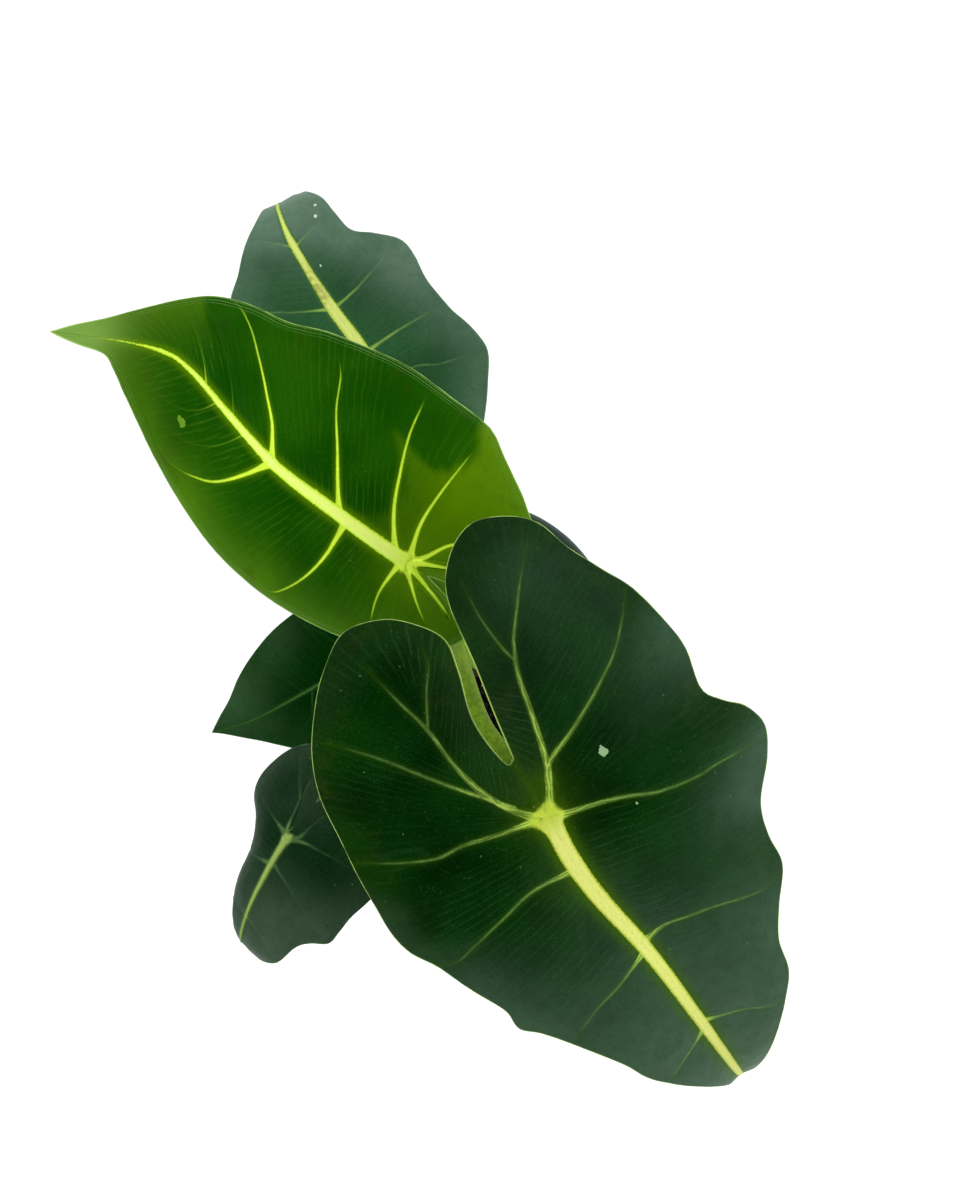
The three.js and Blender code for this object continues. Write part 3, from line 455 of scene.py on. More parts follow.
def direction(leaf, u):  # of the midrib at u
    pitch, heading = np.radians(smoothTable(leaf["pitch"], u)), np.radians(leaf["heading"])
    level = np.cos(pitch)
    return np.stack([level * np.cos(heading), level * np.sin(heading), np.sin(pitch)], -1)


def bladeFrame(leaf, u):  # along, side and up at u
    along = direction(leaf, u)
    heading, roll = np.radians(leaf["heading"]), np.radians(leaf["roll"])
    level = np.broadcast_to([-np.sin(heading), np.cos(heading), 0], along.shape)
    side = level * np.cos(roll) + np.cross(along, level) * np.sin(roll)
    return along, side, np.cross(along, side)


def spinePoint(leaf, u):  # the midrib's direction summed in short steps from the stalk, both ways
    first, last, step = blade["spine"]
    stations = np.arange(first, last, step)
    travelled = np.cumsum(direction(leaf, stations + step / 2) * step, axis=0)
    travelled = np.vstack([np.zeros(3), travelled])
    stations = np.append(stations, stations[-1] + step)
    return np.stack([np.interp(u, stations, gone) - np.interp(0, stations, gone) + start
                     for gone, start in zip(travelled.T, leaf["top"])], -1)


def halves(leaf):
    return (leaf["left"], 1), (leaf["right"], -1)


def place(leaf, u, w):  # flat point (u, w) in space: each half leaves the midrib at its fold and curls down
    along, side, up = bladeFrame(leaf, u)
    point = spinePoint(leaf, u) + side * smoothTable(leaf["sway"], u)[:, None]
    for half, sign in halves(leaf):
        mine = (w >= 0) if sign > 0 else (w < 0)
        v = np.where(mine, np.abs(w), 0)
        fold = np.radians(smoothTable(half["fold"], u))
        curl = np.radians(smoothTable(half["curl"], u))
        height, length, start = half["wave"]
        reach = np.minimum(v / leaf["halfWidth"], 1.2)
        ripple = height * reach**3 * np.sin(2 * np.pi * (u - start) / length)
        out = (np.sin(fold) - np.sin(fold - curl * v)) / curl
        rise = (np.cos(fold - curl * v) - np.cos(fold)) / curl + ripple
        point = point + side * (sign * out * mine)[:, None] + up * (rise * mine)[:, None]
    return point


def halfRows(leaf, half):  # rows from a rib to the margin: anchors, margin points, bow, rib width
    ribRows, fanRows, turnRows, frontRows, _ = leaf["density"]
    tip = half["margin"][-1][0]
    share = np.linspace(0, 1, ribRows + 1)

    def fan(first, last, count):
        return np.linspace(first, last, count + 1)[1:-1]

    outerEnd, outerStart = between(half["outer"], (1, 0))
    shares = np.concatenate([share, np.ones(fanRows - 1), share[::-1], np.zeros(turnRows - 1)])
    index = np.concatenate([half["inner"] * share, fan(half["inner"], outerEnd, fanRows),
                            between(half["outer"], share[::-1]),
                            fan(outerStart, between(half["front"], 0), turnRows)])
    u = np.linspace(0, tip, frontRows + 1)
    anchors = np.vstack([spline(half["rib"], shares * (len(half["rib"]) - 1)), np.stack([u, 0 * u], -1)])
    edges = spline(half["margin"], np.concatenate([index, between(half["front"], u)]))
    bows = np.concatenate([0 * shares, between(half["front"], u, 2)])
    basal = leaf["ribWidth"] * (blade["basalWidth"] - blade["basalLoss"] * shares)
    widths = np.concatenate([basal, leaf["ribWidth"] * (1 - blade["ribWidthLoss"] * u / tip)])
    return anchors, edges, bows, widths


def flatSheet(leaf):  # the flat blade: points, triangles, and for each point where it lies on its row
    columns, faces, count = [], [], 0
    steps = leaf["density"][4]
    ribLevels = np.linspace(0, 1, blade["ribSteps"] + 1)
    for half, sign in halves(leaf):
        anchors, edges, bows, widths = halfRows(leaf, half)
        reach = np.hypot(*(edges - anchors).T)
        ribShare = np.minimum(widths / 2 / np.maximum(reach, 0.01), 0.5)[:, None]
        shares = np.hstack([ribShare * ribLevels[:-1],
                            ribShare + (1 - ribShare) * np.linspace(0, 1, steps + 1)])
        ribPlace = np.broadcast_to(np.append(ribLevels[:-1], np.ones(steps + 1)), shares.shape)
        u = anchors[:, :1] + shares * (edges - anchors)[:, :1] + bows[:, None] * 4 * shares * (1 - shares)
        v = anchors[:, 1:] + shares * (edges - anchors)[:, 1:]
        middle = (anchors + edges) / 2
        travelled = np.concatenate([[0], np.cumsum(np.hypot(*np.diff(middle, axis=0).T))])
        rowPlace = np.broadcast_to((travelled[-1] - travelled)[:, None], shares.shape)
        stack = [u, sign * v, ribPlace, np.broadcast_to(widths[:, None], shares.shape), rowPlace,
                 shares * reach[:, None]]
        columns.append(np.stack(stack, -1).reshape(-1, len(stack)))
        quads = gridFaces(*shares.shape) + count
        triangles = np.vstack([quads[:, [0, 1, 2]], quads[:, [0, 2, 3]]])
        faces.append(triangles[:, ::-1] if sign > 0 else triangles)
        count += shares.size
    columns, faces = np.vstack(columns), np.vstack(faces)
    keys = np.round(columns[:, :2] * 1000).astype(np.int64)
    _, first, same = np.unique(keys, axis=0, return_index=True, return_inverse=True)
    faces = same.reshape(-1)[faces]
    a, b, c = faces.T
    return columns[first], faces[(a != b) & (b != c) & (c != a)]


def pathField(points, path):  # distance to a line of points, the side of it, and the length gone along it
    nearest, side, gone = np.full(len(points), np.inf), np.ones(len(points)), np.zeros(len(points))
    travelled = 0
    for first, step in zip(path[:-1], np.diff(path, axis=0)):
        length = np.hypot(*step)
        offset = points - first
        along = offset @ step / length**2
        t = np.clip(along, 0, 1)
        distance = np.hypot(*(offset - t[:, None] * step).T)
        closer = distance < nearest
        nearest[closer] = distance[closer]
        side[closer] = np.where(step[0] * offset[:, 1] - step[1] * offset[:, 0] >= 0, 1, -1)[closer]
        reached = np.where((along < 0) & (travelled == 0), along, t)  # below 0 behind the first point
        gone[closer] = (travelled + reached * length)[closer]
        travelled += length
    return nearest, side, gone


def veinFields(leaf, flat):  # for each of three layers: signed distance to its nearest vein, half its width
    far, none = 60.0, -1.0
    sides, widths = np.full((len(flat), 3), far), np.full((len(flat), 3), none)
    for layer, base, flare, points in leaf["veins"]:
        line = evenly(points, 9 * len(points))
        distance, side, gone = pathField(flat, line)
        share = np.clip(gone / np.hypot(*np.diff(line, axis=0).T).sum(), 0, 1)
        width = base * (leaf["veinEnd"] + (1 - leaf["veinEnd"]) * (1 - share)**1.2)
        width += flare * np.exp(-np.where(gone > 0, gone / blade["flareLength"], -gone))
        width *= ramp(1 - share, 0, 0.2)
        width -= (width + 1) * ramp(-gone, 0, 2.5)
        closer = distance < np.abs(sides[:, layer])
        sides[closer, layer] = (side * distance)[closer]
        widths[closer, layer] = np.where(distance < blade["veinReach"], width, none)[closer]
    return sides, widths


def insideOf(points, outline):  # a level line from an inner point meets the outline an odd number of times
    inside = np.zeros(len(points), bool)
    for a, b in zip(outline, np.roll(outline, -1, axis=0)):
        if a[1] == b[1]:
            continue
        crosses = (a[1] > points[:, 1]) != (b[1] > points[:, 1])
        inside ^= crosses & (points[:, 0] < (b[0] - a[0]) * (points[:, 1] - a[1]) / (b[1] - a[1]) + a[0])
    return inside


def vertexNormals(points, faces):  # the normals of the faces round a vertex, summed by their areas
    a, b, c = (points[faces[:, k]] for k in range(3))
    faceNormals = np.cross(b - a, c - a)
    normals = np.zeros_like(points)
    for k in range(3):
        for axis in range(3):
            normals[:, axis] += np.bincount(faces[:, k], faceNormals[:, axis], len(points))
    return unit(normals)


def outlineOf(leaf):  # margin in space, right round the blade, seen in plan
    left, right = (place(leaf, edge[:, 0], sign * edge[:, 1])[:, :2] for edge, sign in
                   ((evenly(half["margin"], blade["outlineSteps"]), sign) for half, sign in halves(leaf)))
    return np.vstack([left, right[::-1]])


def spots(places, u, w, stretch=1):  # soft round spots added up: amount times a bell of the distance
    total = np.zeros(len(u))
    for atU, atW, radius, amount in places:
        total += amount * bell(np.hypot((u - atU) / stretch, w - atW), radius)
    return total


def closedSheet(upper, lower, faces):  # two faces and a wall along their open edges
    count = len(upper)
    starts, ends = faces.reshape(-1), faces[:, [1, 2, 0]].reshape(-1)
    free = ~np.isin(ends * count + starts, starts * count + ends)
    starts, ends = starts[free], ends[free]
    wall = np.vstack([np.stack([starts, starts + count, ends + count], -1),
                      np.stack([starts, ends + count, ends], -1)])
    return np.vstack([upper, lower]), np.vstack([faces, faces[:, ::-1] + count, wall])


def makeBlade(leaf, material, shadowers):
    columns, faces = flatSheet(leaf)
    u, w, ribPlace, ribWidth, rowPlace, across = columns.T
    flat = columns[:, :2]
    sides, veinWidths = veinFields(leaf, flat)
    margins = [evenly(half["margin"], blade["marginSteps"]) * (1, sign) for half, sign in halves(leaf)]
    edge = np.minimum(*[pathField(flat, margin)[0] for margin in margins])

    # relief: the blade swells between the veins and sinks to them, and small chance swells cross it
    veinAway = np.abs(sides).min(1)
    nearVein = np.minimum(veinAway, np.abs(w) + 40 * (u < -2))  # no midrib behind the stalk
    swell = blade["quilt"] * ramp(nearVein, *blade["swell"]) * ramp(edge, 0, 9)
    swell -= blade["sink"] * bell(veinAway, blade["sinkWidth"]) * ramp(edge, 0, 3)
    for length, height, seed in blade["ripples"]:
        swell += height * waves(flat, length, 8, seed) * ramp(edge, 0, 5)
    middle = place(leaf, u, w)
    smoothNormals = vertexNormals(middle, faces)
    middle = middle + smoothNormals * (swell * ramp(ribPlace, 0.6, 1.0))[:, None]
    normals = vertexNormals(middle, faces)

    # the two faces, with a rounded midrib above and a keel below
    arch = np.sqrt(np.clip(1 - ribPlace**2, 0, 1))
    thick = blade["edgeThickness"] + (blade["thickness"] - blade["edgeThickness"]) * ramp(
        edge, 0, blade["edgeThinning"])
    topRib = blade["ribRise"] * ribWidth * arch**1.5 * ramp(np.hypot(u, w), -4, 12)
    keel = blade["ribKeel"] * ribWidth * arch
    vein = blade["underVein"] * bell(veinAway, blade["underVeinWidth"]) * ramp(edge, 0, 6) * ramp(
        ribPlace, 0.5, 1)
    upper = middle + normals * (thick / 2 + topRib)[:, None]
    lower = middle - normals * (thick / 2 + np.maximum(keel, vein))[:, None]
    slot = {"young": "young_blade", "back": "back_blade"}.get(leaf["name"], "dark_blade")
    piece = makePiece(leaf["name"] + "Leaf", *closedSheet(upper, lower, faces), material, slot)

    # what the material needs to know, the same on both faces
    count = len(flat)
    scar = np.full(count, 9.0)
    for atU, atW, radius in leaf["scars"]:
        scar = np.minimum(scar, np.hypot(u - atU, (w - atW) * blade["stretch"]) - radius)
    # painted shadow: the light shining through the blade is taken out where another leaf lies behind it
    lit = np.ones(count)
    for outline in shadowers:
        away = pathField(middle[:, :2], np.vstack([outline, outline[:1]]))[0]
        lit *= ramp(np.where(insideOf(middle[:, :2], outline), -away, away), *blade["shadowSoft"])
    # painted light shining through the blade, in spots and along the margin
    shade = spots(leaf["glow"], u, w) + leaf["edgeGlow"] * bell(edge, blade["edgeGlowWidth"])
    # the painted sheen: a pale tint where the blade tilts away, along the margin and in the listed spots
    start, full, allOver, nearEdge = leaf["bloom"]
    tilt = np.degrees(np.arccos(np.clip(smoothNormals[:, 2], -1, 1)))
    turned = np.maximum(ramp(tilt, start, full), nearEdge * ramp(edge, blade["castReach"], 0))
    bloom = np.clip(allOver + (1 - allOver) * turned + spots(leaf["cast"], u, w), 0, 1)
    bruise = np.clip(spots(leaf["bruise"], u, w, blade["stretch"]), 0, 1)
    pale = np.clip(spots(leaf["pale"], u, w), 0, 1)
    twice = np.tile(np.arange(count), 2)
    # hub also carries the painted shadow and the painted sheen, tone the painted light shining through
    for name, values in dict(rib=(w, smoothTable(leaf["midrib"], u), edge), veinSide=sides.T,
                             veinHalf=veinWidths.T, tone=(np.zeros(count), scar, shade),
                             hub=(leaf["hub"] - np.hypot(u, w), lit, bloom),
                             marks=(bruise, ramp(u, -2, 9), pale)).items():
        values = np.stack(values, -1)[twice]
        if name == "tone":
            values[count:, 0] = 1  # the under side
        setAttribute(piece, name, values)
    setMap(piece, "rows", np.stack([rowPlace, across], -1)[twice])
    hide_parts(leaf["name"] + "_leaf")


# Colours as seen on a screen, from 0 to 255: deep and fresh are the blade's ground, glow the painted light
# where it shines through, bloom the painted sheen, a pale tint where the blade turns away towards the bright
# horizon, streak the fine veins, vein and veinEnd the side veins at root and end, strand the threads in them,
# rib and ribEdge the midrib's middle and sides, node its end over the stalk, tip the pale places, under the
# under side, margin the pale line along the margin, partly its own colour and partly a painted highlight
# where the thick
# edge catches the light. halo: width of the lighter band along a rib. dull: half widths between which the
# midrib loses its brightness. full: half width of a side vein with its full colour. bandShare, strandShare:
# how
# strongly it is drawn from end to root. soft: where its edge starts and ends, ragged: how rough that is,
# braid:
# how far its threads join, uneven: how far it fades in places. fine, grain, rust, rolled: strengths of the
# fine veins, the velvet grain, the reddish and the rolled margin.
plainLook = dict(under=(104, 134, 84), margin=(84, 116, 78), scar=(128, 160, 112), fine=0.25, sheen=0.1,
                 roughness=0.44, gloss=0.03, rust=0.2, braid=0.3, grain=0.4, ragged=0.6, rolled=0,
                 strandShare=(0.0, 0.5), soft=(-0.6, 0.4), uneven=0.5)
looks = dict(
    big=dict(deep=(0, 24, 0), fresh=(4, 42, 2), glow=(50, 78, 0), vein=(118, 152, 46), veinEnd=(72, 110, 58),
             strand=(176, 200, 90), rib=(196, 202, 108), ribEdge=(150, 170, 34), node=(164, 184, 58),
             margin=(160, 190, 96), bloom=(52, 74, 56), streak=(46, 74, 44), scar=(138, 166, 124), fine=0.28,
             halo=5.0, dull=(2.8, 1.4), braid=0.0, full=1.5, ragged=0.7, bandShare=(0.5, 0.8),
             strandShare=(0.1, 0.75), soft=(-0.5, 0.4), uneven=0.45),
    young=dict(deep=(12, 66, 0), fresh=(28, 82, 0), glow=(84, 126, 0), vein=(204, 246, 40),
               veinEnd=(130, 184, 30), strand=(222, 252, 84), rib=(232, 254, 124), ribEdge=(196, 240, 34),
               node=(216, 250, 72), margin=(170, 206, 112), under=(120, 160, 84), bloom=(82, 122, 30),
               streak=(72, 116, 26), scar=(112, 150, 40), tip=(122, 160, 72), fine=0.34, halo=3.2,
               sheen=0.05, roughness=0.4, dull=(0.5, 0.1), rust=0.3, braid=0.8, full=0.6, grain=0.18,
               ragged=0.25, bandShare=(0.7, 1.0), strandShare=(0.2, 0.8), rolled=0.38, soft=(-0.3, 0.28),
               uneven=0.2),
    back=dict(deep=(18, 60, 25), fresh=(30, 78, 37), glow=(66, 106, 46), vein=(142, 178, 72),
              veinEnd=(80, 118, 84), strand=(146, 180, 84), rib=(212, 222, 122), ribEdge=(174, 198, 74),
              node=(180, 206, 84), margin=(120, 150, 116), bloom=(91, 117, 98), streak=(58, 96, 66),
              scar=(214, 226, 200), fine=0.3, halo=1.6, sheen=0.15, gloss=0.05, dull=(1.0, 0.4), full=0.7,
              grain=0.34, ragged=0.5, bandShare=(0.5, 0.85), strandShare=(0.0, 0.6), soft=(-0.4, 0.3)),
    low=dict(deep=(0, 30, 6), fresh=(10, 40, 14), glow=(56, 88, 44), vein=(80, 110, 60), veinEnd=(44, 74, 44),
             strand=(98, 128, 76), rib=(150, 170, 92), ribEdge=(104, 136, 52), node=(142, 168, 84),
             bloom=(56, 74, 57), streak=(34, 62, 36), halo=1.4, dull=(0.7, 0.3), full=0.9,
             bandShare=(0.45, 0.75)),
    side=dict(deep=(0, 34, 0), fresh=(0, 46, 0), glow=(30, 70, 16), vein=(58, 94, 50), veinEnd=(28, 62, 28),
              strand=(66, 102, 56), rib=(72, 106, 62), ribEdge=(54, 90, 44), node=(72, 106, 62),
              bloom=(50, 80, 48), streak=(24, 60, 22), halo=1.2, sheen=0.02, gloss=0.01, dull=(0.4, 0.1),
              full=0.8, bandShare=(0.5, 0.75)))

skin = dict(
    grain=0.9, mottle=5, cloud=26,  # sizes in mm of the velvet grain, the blotches and the broad clouds
    fineWaves=((2.3, 22, 12.0, 0.55), (3.9, 12, 11.0, 0.45)),  # crests for each mm, size and amount of their
    strandWave=(6.0, 8, 14.0),                                 # wandering, share; the strands' are the same
    finePatch=24,         # size of the patches in which the fine veins are strong
    web=2.5,              # how round the midrib joins the side veins
    spur=0.45, jagged=0.7,  # how far it reaches into the fine veins, and how rough its edge is
    specks=(5.2, 0.5), dusting=(1.9, 0.5), scarEdge=(2.2, 4.0),  # size and strength
    relief=((0.5, 0.5), (2.6, 0.8)), reliefDepth=0.05,
    rust=(48, 52, 10), rolledLine=(128, 168, 96), ribSpot=(96, 104, 40), bruise=(128, 112, 52),
    speck=(90, 120, 80), dust=(84, 106, 78), underVein=(150, 176, 104), glossTint=(120, 224, 140),
    sheenTint=(190, 226, 200))


def fineVeins(s, ribSide):  # crests of two sines along the rows, and the same strong only in patches
    row = s.parts(s.put("UVMap", uv_map="rows"))[0]
    first, second = (s.sum("SINE", row * rate + s.noise(size, 2) * wander) * share
                     for rate, size, wander, share in skin["fineWaves"])
    fine = (first + second).span(0, 1)
    patchy = s.noise(skin["finePatch"], 3).span(0.36, 0.62, 0.1)
    return fine, fine * (patchy * abs(ribSide).span(26.0, 3.0, 0.5))


def sideVeins(s, look, signed):
    # three layers, each a soft band that is its half width less the distance, with threads on the crests of
    # a sine of the distance; gap and width are those of the layer that is most inside
    away, wide = s.attribute("veinSide"), s.attribute("veinHalf")
    distance = s.put("VectorMath", {0: away}, operation="ABSOLUTE")
    gaps = s.parts(s.put("VectorMath", {0: wide, 1: distance}, operation="SUBTRACT"))
    gap, width = s.largest(*gaps), s.largest(*s.parts(wide))
    ragged = signed * look["ragged"]
    rate, size, wander = skin["strandWave"]
    braid = s.noise(size, 2) * wander
    strands = [(inside + ragged).span(-0.1, 0.45)
               * s.sum("SINE", offset * rate + braid).span(-0.5, 0.8, look["braid"])
               for inside, offset in zip(gaps, s.parts(away))]
    uneven = s.noise(6, 3).span(0.36, 0.62, 1 - look["uneven"])
    present, root = width.span(0, 0.25), width.span(0.05, look["full"])
    band = (gap + ragged).span(*look["soft"]) * (present * uneven)
    strand = s.largest(0.0, *strands) * uneven * (present * root.span(0.1, 0.9, *look["strandShare"]))
    return gap, width, root, band, strand


def midribColour(s, leaf, look, inside, ribHalf, hub, bruise, onRib):
    # from its edge to its middle, streaked along, duller where it is slim, with small spots and bruises
    along = s.put("Mapping", {"Vector": s.place(), "Rotation": (0, 0, np.radians(leaf["heading"])),
                              "Scale": (9, 1, 1)}, vector_type="TEXTURE")
    dull = ribHalf.span(*look["dull"], 0, 0.6) * hub.span(-6.0, -14.0)
    brown = bruise * s.noise(2.5, 2).span(0.35, 0.6)
    colour = s.layers(look["ribEdge"], (inside.span(0, 1), look["rib"]),
                      (s.noise(0.7, 3, 0.6, along).span(0.5, 0.72, 0, look["grain"]), dim(look["rib"], 0.8)),
                      (dull, dim(look["rib"], 0.72)),
                      (s.noise(1.2, 3, 0.7).span(0.68, 0.74, 0, 0.5), skin["ribSpot"]),
                      (brown * 0.5, skin["bruise"]))
    return s.layers(look["node"], (onRib, colour))


def bladeMaterial(leaf):  # ground, painted light shining through, fine veins, painted sheen and grain, side veins, midrib, margin line partly painted as a highlight, scars and dust
    look = dict(plainLook, **looks[leaf["name"]])
    s = Shader(leaf["name"] + "Blade")
    under, scar, light = s.parts(s.attribute("tone"))
    ribSide, ribHalf, edge = s.parts(s.attribute("rib"))
    hub, lit, bloom = s.parts(s.attribute("hub"))
    bruise, onRib, palePlace = s.parts(s.attribute("marks"))
    grain, cloud = s.noise(skin["grain"], 3), s.noise(skin["cloud"], 3)
    mottle = s.noise(skin["mottle"], 4, 0.6)
    signed = grain - 0.5
    fine, faint = fineVeins(s, ribSide)
    gap, width, root, band, strand = sideVeins(s, look, signed)

    # midrib: it joins the roots of the veins in round webs, and sends short spurs into the fine veins
    knot = s.sum("SMOOTH_MAX", ribHalf - abs(ribSide), hub, skin["web"])
    knot = s.sum("SMOOTH_MAX", knot, gap + width.span(0.7, 2.0, -3.0, 0), skin["web"])
    spur = fine ** 3.0 * mottle.span(0.55, 0.7, 0, skin["spur"])
    inside = knot + spur + signed * skin["jagged"]
    rib = (inside * onRib.span(0, 1, 0.3)).span(-0.3, 0.3)
    veinGlow = gap.span(-look["halo"], 0.1) * root
    ribGlow = inside.span(-look["halo"] * 1.4, 0)
    halo = s.largest(veinGlow ** 3.5, ribGlow ** 2.5) * 0.8

    # the painted sheen, taken down in the painted shadow
    pale = bloom * (mottle * 0.6 + grain * 0.4).span(0.3, 0.7, 0.7) * lit.span(0, 1, 0.2)
    rusty = s.noise(9, 3).span(0.52, 0.7) * edge.span(16.0, 2.0, 0, look["rust"])
    # in these layers the glow layer is painted light shining through the blade, weaker in the painted shadow,
    # and pale is the painted sheen
    body = s.layers(look["deep"], (cloud.span(0.3, 0.7), look["fresh"]),
                    (s.sum("MULTIPLY", light, lit * 0.85, clamp=True), look["glow"]),
                    (rusty, skin["rust"]), (faint * look["fine"], look["streak"]),
                    (pale, look["bloom"]), (halo, look["glow"]),
                    (grain.span(0.42, 0.85, 0, look["grain"]), dim(look["deep"], 0.5)),
                    (grain.span(0.46, 0.2, 0, look["grain"] * 0.4), look["bloom"]))
    if look["rolled"]:  # two or three fine lines along the margin
        curl = s.sum("SINE", edge * 7.0 + s.noise(15, 2) * 8.0)
        lines = curl.span(0.2, 1) * edge.span(3.2, 1.6) * s.noise(30, 2).span(0.4, 0.6, 0.2, look["rolled"])
        body = s.layers(body, (lines, skin["rolledLine"]))
    if "tip" in look:
        body = s.layers(body, (palePlace * 0.85, look["tip"]))
    veinTone = s.layers(look["veinEnd"], (root, look["vein"]))
    ribTone = midribColour(s, leaf, look, inside, ribHalf, hub, bruise, onRib)
    # a pale line along the margin and at the pale places: partly the margin's own colour, partly a painted
    # highlight where the thick edge catches the light
    edgeLineAndHighlight = s.largest(edge.span(0.06, 0.34, 1, 0) * s.noise(8, 2).span(0.35, 0.6, 0.3),
                         palePlace * edge.span(0.15, 0.6, 0.9, 0))
    jagged = scar + (s.noise(skin["scarEdge"][0], 3) - 0.5) * skin["scarEdge"][1]
    specks = s.cells(skin["specks"][0]).span(0.045, 0.075, 1, 0) * s.noise(19, 1).span(0.5, 0.62)
    dusting = s.cells(skin["dusting"][0]).span(0.05, 0.12, skin["dusting"][1], 0)
    body = s.layers(body, (band * root.span(0, 1, *look["bandShare"]), veinTone),
                    (strand, look["strand"]), (rib, ribTone), (edgeLineAndHighlight, look["margin"]),
                    (jagged.span(-0.1, 0.1, 0.85, 0), look["scar"]),
                    (specks * skin["specks"][1], skin["speck"]),
                    (dusting * s.noise(13, 2).span(0.45, 0.65), skin["dust"]))
    below = s.layers(look["under"], (s.largest(band, rib) * 0.6, skin["underVein"]),
                     (cloud.span(0.3, 0.7, 0, 0.4), dim(look["under"], 0.8)))

    small, large = (s.noise(size, 3) * share for size, share in skin["relief"])
    relief = small + large - fine * 0.2
    roughness = (s.noise(7, 3) - 0.5) * 0.18 + look["roughness"]
    return s.finish(baseColor=s.layers(body, (under.span(0.35, 0.65), below)), roughness=roughness,
                    normal=s.bump(relief, skin["reliefDepth"], 0.7), specularIorLevel=look["gloss"],
                    specularTint=skin["glossTint"], sheenWeight=look["sheen"], sheenRoughness=0.3,
                    sheenTint=skin["sheenTint"])


# the back leaf's outline, moved a little, marks the painted shadow on the young blade
shadow = next(outlineOf(leaf) for leaf in leaves if leaf["name"] == "back") + blade["shadowShift"]
for leaf in leaves:  # only the back leaf shades another one much, the young one
    makeBlade(leaf, bladeMaterial(leaf), [shadow] if leaf["name"] == "young" else [])
    print("blade", leaf["name"], "made")

stalk = dict(foot=95, flare=1.25, flareHeight=45, rings=110, sides=28,
             channel=0.3, channelWidth=0.42,   # groove in the sheathing foot: share of the radius, angle
             channelStart=(109, 118), channelEnd=(190, 130),                     # and heights
             wingRise=0.16, wingAngle=0.75, wingWidth=0.24, wingToneWidth=0.2,   # the lips beside it
             ridges=9, ridgeRise=0.012,
             topDepth=0.8,         # the top is cut off this far under the middle of the blade
             neckReach=(20, 14),   # painted shade at the top of the stalk, under the blade, starts and is full this near the top
             green=(80, 112, 8), pale=(102, 130, 24), footTone=(110, 126, 60), freckle=(66, 86, 24),
             neck=(50, 92, 4), dry=(118, 98, 66))


def makeStalk(leaf, material):
    # rings across the smooth path; the radius tapers, flares at the foot, and a groove opens inwards there
    share = np.linspace(0, 1, stalk["rings"] + 1)
    centre = spline(leaf["path"], share * (len(leaf["path"]) - 1))
    along = unit(np.gradient(centre, axis=0))
    heading = np.radians(leaf["heading"])
    across = np.broadcast_to([-np.sin(heading), np.cos(heading), 0], along.shape)
    normal = unit(np.cross(along, across))
    binormal = np.cross(along, normal)
    foot = np.clip(1 - (centre[:, 2] - stalk["foot"]) / stalk["flareHeight"], 0, 1)
    taper = leaf["footRadius"] + (leaf["topRadius"] - leaf["footRadius"]) * share
    radius = taper * (1 - (1 - 1 / stalk["flare"]) * (1 - foot) * (1 - share))
    angle = np.linspace(0, 2 * np.pi, stalk["sides"], endpoint=False)
    inward = -centre[:, :2] / np.maximum(np.hypot(*centre[:, :2].T), 0.5)[:, None]
    inAngle = np.arctan2((binormal[:, :2] * inward).sum(-1), (normal[:, :2] * inward).sum(-1))
    off = np.abs((angle[None] - inAngle[:, None] + np.pi) % (2 * np.pi) - np.pi)
    groove = (ramp(centre[:, 2], *stalk["channelStart"]) * ramp(centre[:, 2], *stalk["channelEnd"]))[:, None]
    shape = 1 - stalk["channel"] * groove * bell(off, stalk["channelWidth"])
    shape += stalk["wingRise"] * groove * bell(off - stalk["wingAngle"], stalk["wingWidth"])
    shape += stalk["ridgeRise"] * np.sin(angle * stalk["ridges"])[None]
    ring = np.cos(angle)[None, :, None] * normal[:, None] + np.sin(angle)[None, :, None] * binormal[:, None]
    points = centre[:, None] + ring * (radius[:, None] * shape)[..., None]
    up = bladeFrame(leaf, np.zeros(1))[2][0]
    above = (points - leaf["top"]) @ up + stalk["topDepth"]
    points = points - np.maximum(above, 0)[..., None] * up
    ends = np.stack([points[0].mean(0), points[-1].mean(0)])
    grid = points.reshape(-1, 3)
    count, sides = len(grid), stalk["sides"]
    turn = np.arange(sides)
    ahead = (turn + 1) % sides
    faces = [*gridFaces(stalk["rings"] + 1, sides, wrap=True)]
    faces += [*np.stack([ahead, turn, np.full(sides, count)], -1)]
    faces += [*np.stack([count - sides + turn, count - sides + ahead, np.full(sides, count + 1)], -1)]
    piece = makePiece(leaf["name"] + "Stalk", np.vstack([grid, ends]), faces, material, "stalk")
    wing = (groove * bell(off - stalk["wingAngle"], stalk["wingToneWidth"])).ravel()
    # the top of the stalk, darkened as painted shade under its blade
    neck = ramp(np.hypot(*(centre - leaf["top"])[:, :2].T), *stalk["neckReach"])
    values = np.stack([np.repeat(share, sides), wing, np.repeat(neck, sides)], -1)
    setAttribute(piece, "stalkPlace", np.vstack([values, [(0, 0, neck[0]), (1, 0, neck[-1])]]))
    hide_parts(leaf["name"] + "_stalk")


def stalkMaterial():  # lengthwise streaks, a paler foot, freckles, a darker green top painted as shade under the blade, and dry lips of the groove
    s = Shader("stalkSkin")
    share, wing, neck = s.parts(s.attribute("stalkPlace"))
    stretched = s.place((1, 1, 0.12))
    streak = s.noise(1.6, 3, where=stretched)
    freckles = s.noise(3.2, 4, 0.7, stretched).span(0.52, 0.62) * share.span(0.05, 0.8, 0.7, 0.15)
    colour = s.layers(stalk["green"], (streak.span(0.35, 0.65), stalk["pale"]),
                      (share.span(0.02, 0.3, 0.85, 0), stalk["footTone"]), (freckles, stalk["freckle"]),
                      (neck * 0.9, stalk["neck"]),
                      (wing.span(0.55, 0.9, 0, 0.8) * share.span(0.6, 0.4), stalk["dry"]))
    return s.finish(baseColor=colour, roughness=s.largest(streak.span(0.2, 0.8, 0.42, 0.55), neck),
                    normal=s.bump(streak + s.noise(0.5, 2) * 0.3, 0.2, 0.5), specularIorLevel=0.04)


